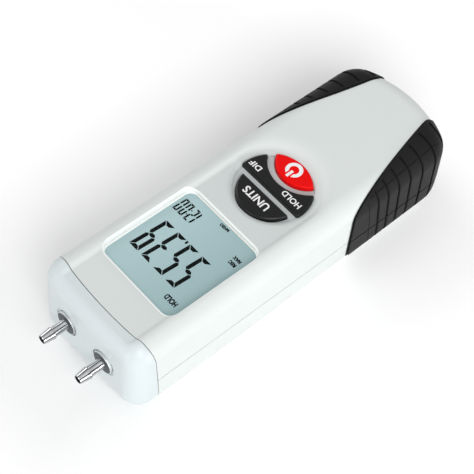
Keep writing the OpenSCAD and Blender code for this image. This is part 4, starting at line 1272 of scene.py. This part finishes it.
jacket_look = Look("battery_jacket", metallic=0.3, roughness=0.32)
band = jacket_look.axis("Y") > -0.062
jacket_look.set("Base Color", jacket_look.mix(band, srgb(58, 84, 140), srgb(196, 160, 84)))
jacket_look.bump(jacket_look.noise(1500), 0.1, 0.00004)
battery_jacket = jacket_look.material

# %% [markdown]
# ## Dressing every piece
# Each new piece and each CAD node that stays gets its finish here, in one table. For new pieces
# the table also names the record's material slot that each one stands for.


# %% Dress the pieces
def dress(piece, material):
    piece.data.materials.clear()
    piece.data.materials.append(material)


for pieces, material, slot in [
        ((rear_shell, door), case_plastic, "case"), ((front_shell,), front_plastic, "case"),
        ((keypad_plate,), keypad_plastic, "case"), ((rim,), rim_plastic_and_highlight, "case"),
        ((shade_strip,), parting_shade_rubber, "black_rubber"), ((end_shell,), cap_plastic, "cap"),
        ((keys["units_key"], keys["rocker_key"]), key_rubber, "dark_key"),
        ((keys["power_key"],), red_rubber, "red_key"), (printed, legend_ink, "frame"),
        ((display_print,), display_ink, "black_rubber"), (ports, turned_metal, "barb"),
        (grips.values(), grip_rubber, "grip")]:
    for piece in pieces:
        dress(piece, material)

node_looks = {
    "display_pane": clear_pane, "display_frame": white_plastic, "lcd_glass": display_film,
    "backlight": white_plastic, "lcd_connectors": black_seal, "keypad_mat": grey_silicone,
    "key_domes": grey_silicone, "main_board": green_board, "contact_pads": gilt_metal,
    "board_chips": black_chip, "sensor_board": green_board, "board_header": black_chip,
    "pressure_sensor": ivory_plastic, "sensor_tubes": tube_silicone, "barb_nuts": zinc_metal,
    "barb_seals": black_seal, "battery": battery_jacket, "battery_terminals": zinc_metal,
    "battery_contacts": gilt_metal, "cover_screws": zinc_metal, "cap_screws": zinc_metal,
    "board_screws": zinc_metal}
for node, material in node_looks.items():
    dress(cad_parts[node], material)
print("dressed CAD nodes:", len(node_looks))

# %% [markdown]
# ## Floor and light
# The meter lies on a white table. A large soft lamp stands on its near side, low enough to send
# a soft shadow away from us, and the white sky of the world fills in the rest. The lamps stay at
# a plain level, at which a colour renders about as it was written. For camera rays the table also
# carries a painted shadow: it is painted greyer beside the meter on the shadow's side, which makes
# the shadow look wide and soft.

# %% Floor
bpy.ops.mesh.primitive_plane_add(size=8)
floor = added("table_top")
floor_look = Look("white_table_painted_shadow", roughness=0.6)
paper = floor_look.mix(floor_look.noise(4), grey(0.92), grey(0.90))
seen = floor_look.node("LightPath", output=0)
# Painted shadow: for camera rays the table is painted greyer near the meter, on its +X side.
near = floor_look.ramp(floor_look.outside(BODY_WIDTH / 2 * MM, END_Y * MM), 0.085, 0.03)
shaded = floor_look.ramp(floor_look.axis("X") + floor_look.axis("Y") * 0.3, -0.03, 0.02)
sheet = floor_look.mix(near * shaded, grey(0.97), grey(0.83))
floor_look.set("Base Color", floor_look.mix(seen, paper, sheet))
floor_look.set("Emission Color", floor_look.mix(seen, grey(0), grey(0.12)))
floor_look.set("Emission Strength", 1.0)
dress(floor, floor_look.material)
print("table", [round(s, 1) for s in floor.dimensions[:2]], "m")


# %% Lamps and sky
def lamp(name, place, size, watts):
    """A round lamp that looks at the origin. Its size is in metres."""
    bpy.ops.object.light_add(type="AREA", location=place)
    light = bpy.context.object
    light.name = name
    light.data.shape = "DISK"
    light.data.size = size
    light.data.energy = watts
    light.rotation_euler = (-Vector(place)).to_track_quat("-Z", "Y").to_euler()


lamp("side_lamp", (-1.45, 0.85, 1.5), 1.3, 24)
lamp("low_lamp", (-2.0, 0.0, 0.3), 0.8, 14)
lamp("port_lamp", (0.1, 2.0, 0.35), 0.8, 5)
lamp("fill_lamp", (1.6, 0.1, 1.1), 1.2, 7.2)
world = bpy.data.worlds.new("white_room")
bpy.context.scene.world = world
world.use_nodes = True
sky = world.node_tree.nodes["Background"]
sky.inputs["Color"].default_value = (1, 1, 1, 1)
sky.inputs["Strength"].default_value = 0.53
bpy.context.scene.view_settings.view_transform = "Standard"

# %% [markdown]
# ## Dark cards for the metal
# White light from all sides makes polished metal look like grey plastic. Photographers stand
# black cards beside it, which draw dark streaks down the metal and tell the eye that it shines.

# %% Cards
card_look = Look("black_card", roughness=0.9, specular_ior_level=0.0)
card_look.set("Base Color", card_look.mix(card_look.noise(30), grey(0.010), grey(0.006)))
for name, place, size in [("near_card", (-0.75, 0.45, 0.22), (0.02, 0.8, 0.14)),
                          ("far_card", (0.45, 0.5, 0.5), (0.02, 0.6, 0.16))]:
    bpy.ops.mesh.primitive_cube_add(size=1, location=place)
    card = added(name)
    card.scale = size
    settle(card)
    dress(card, card_look.material)
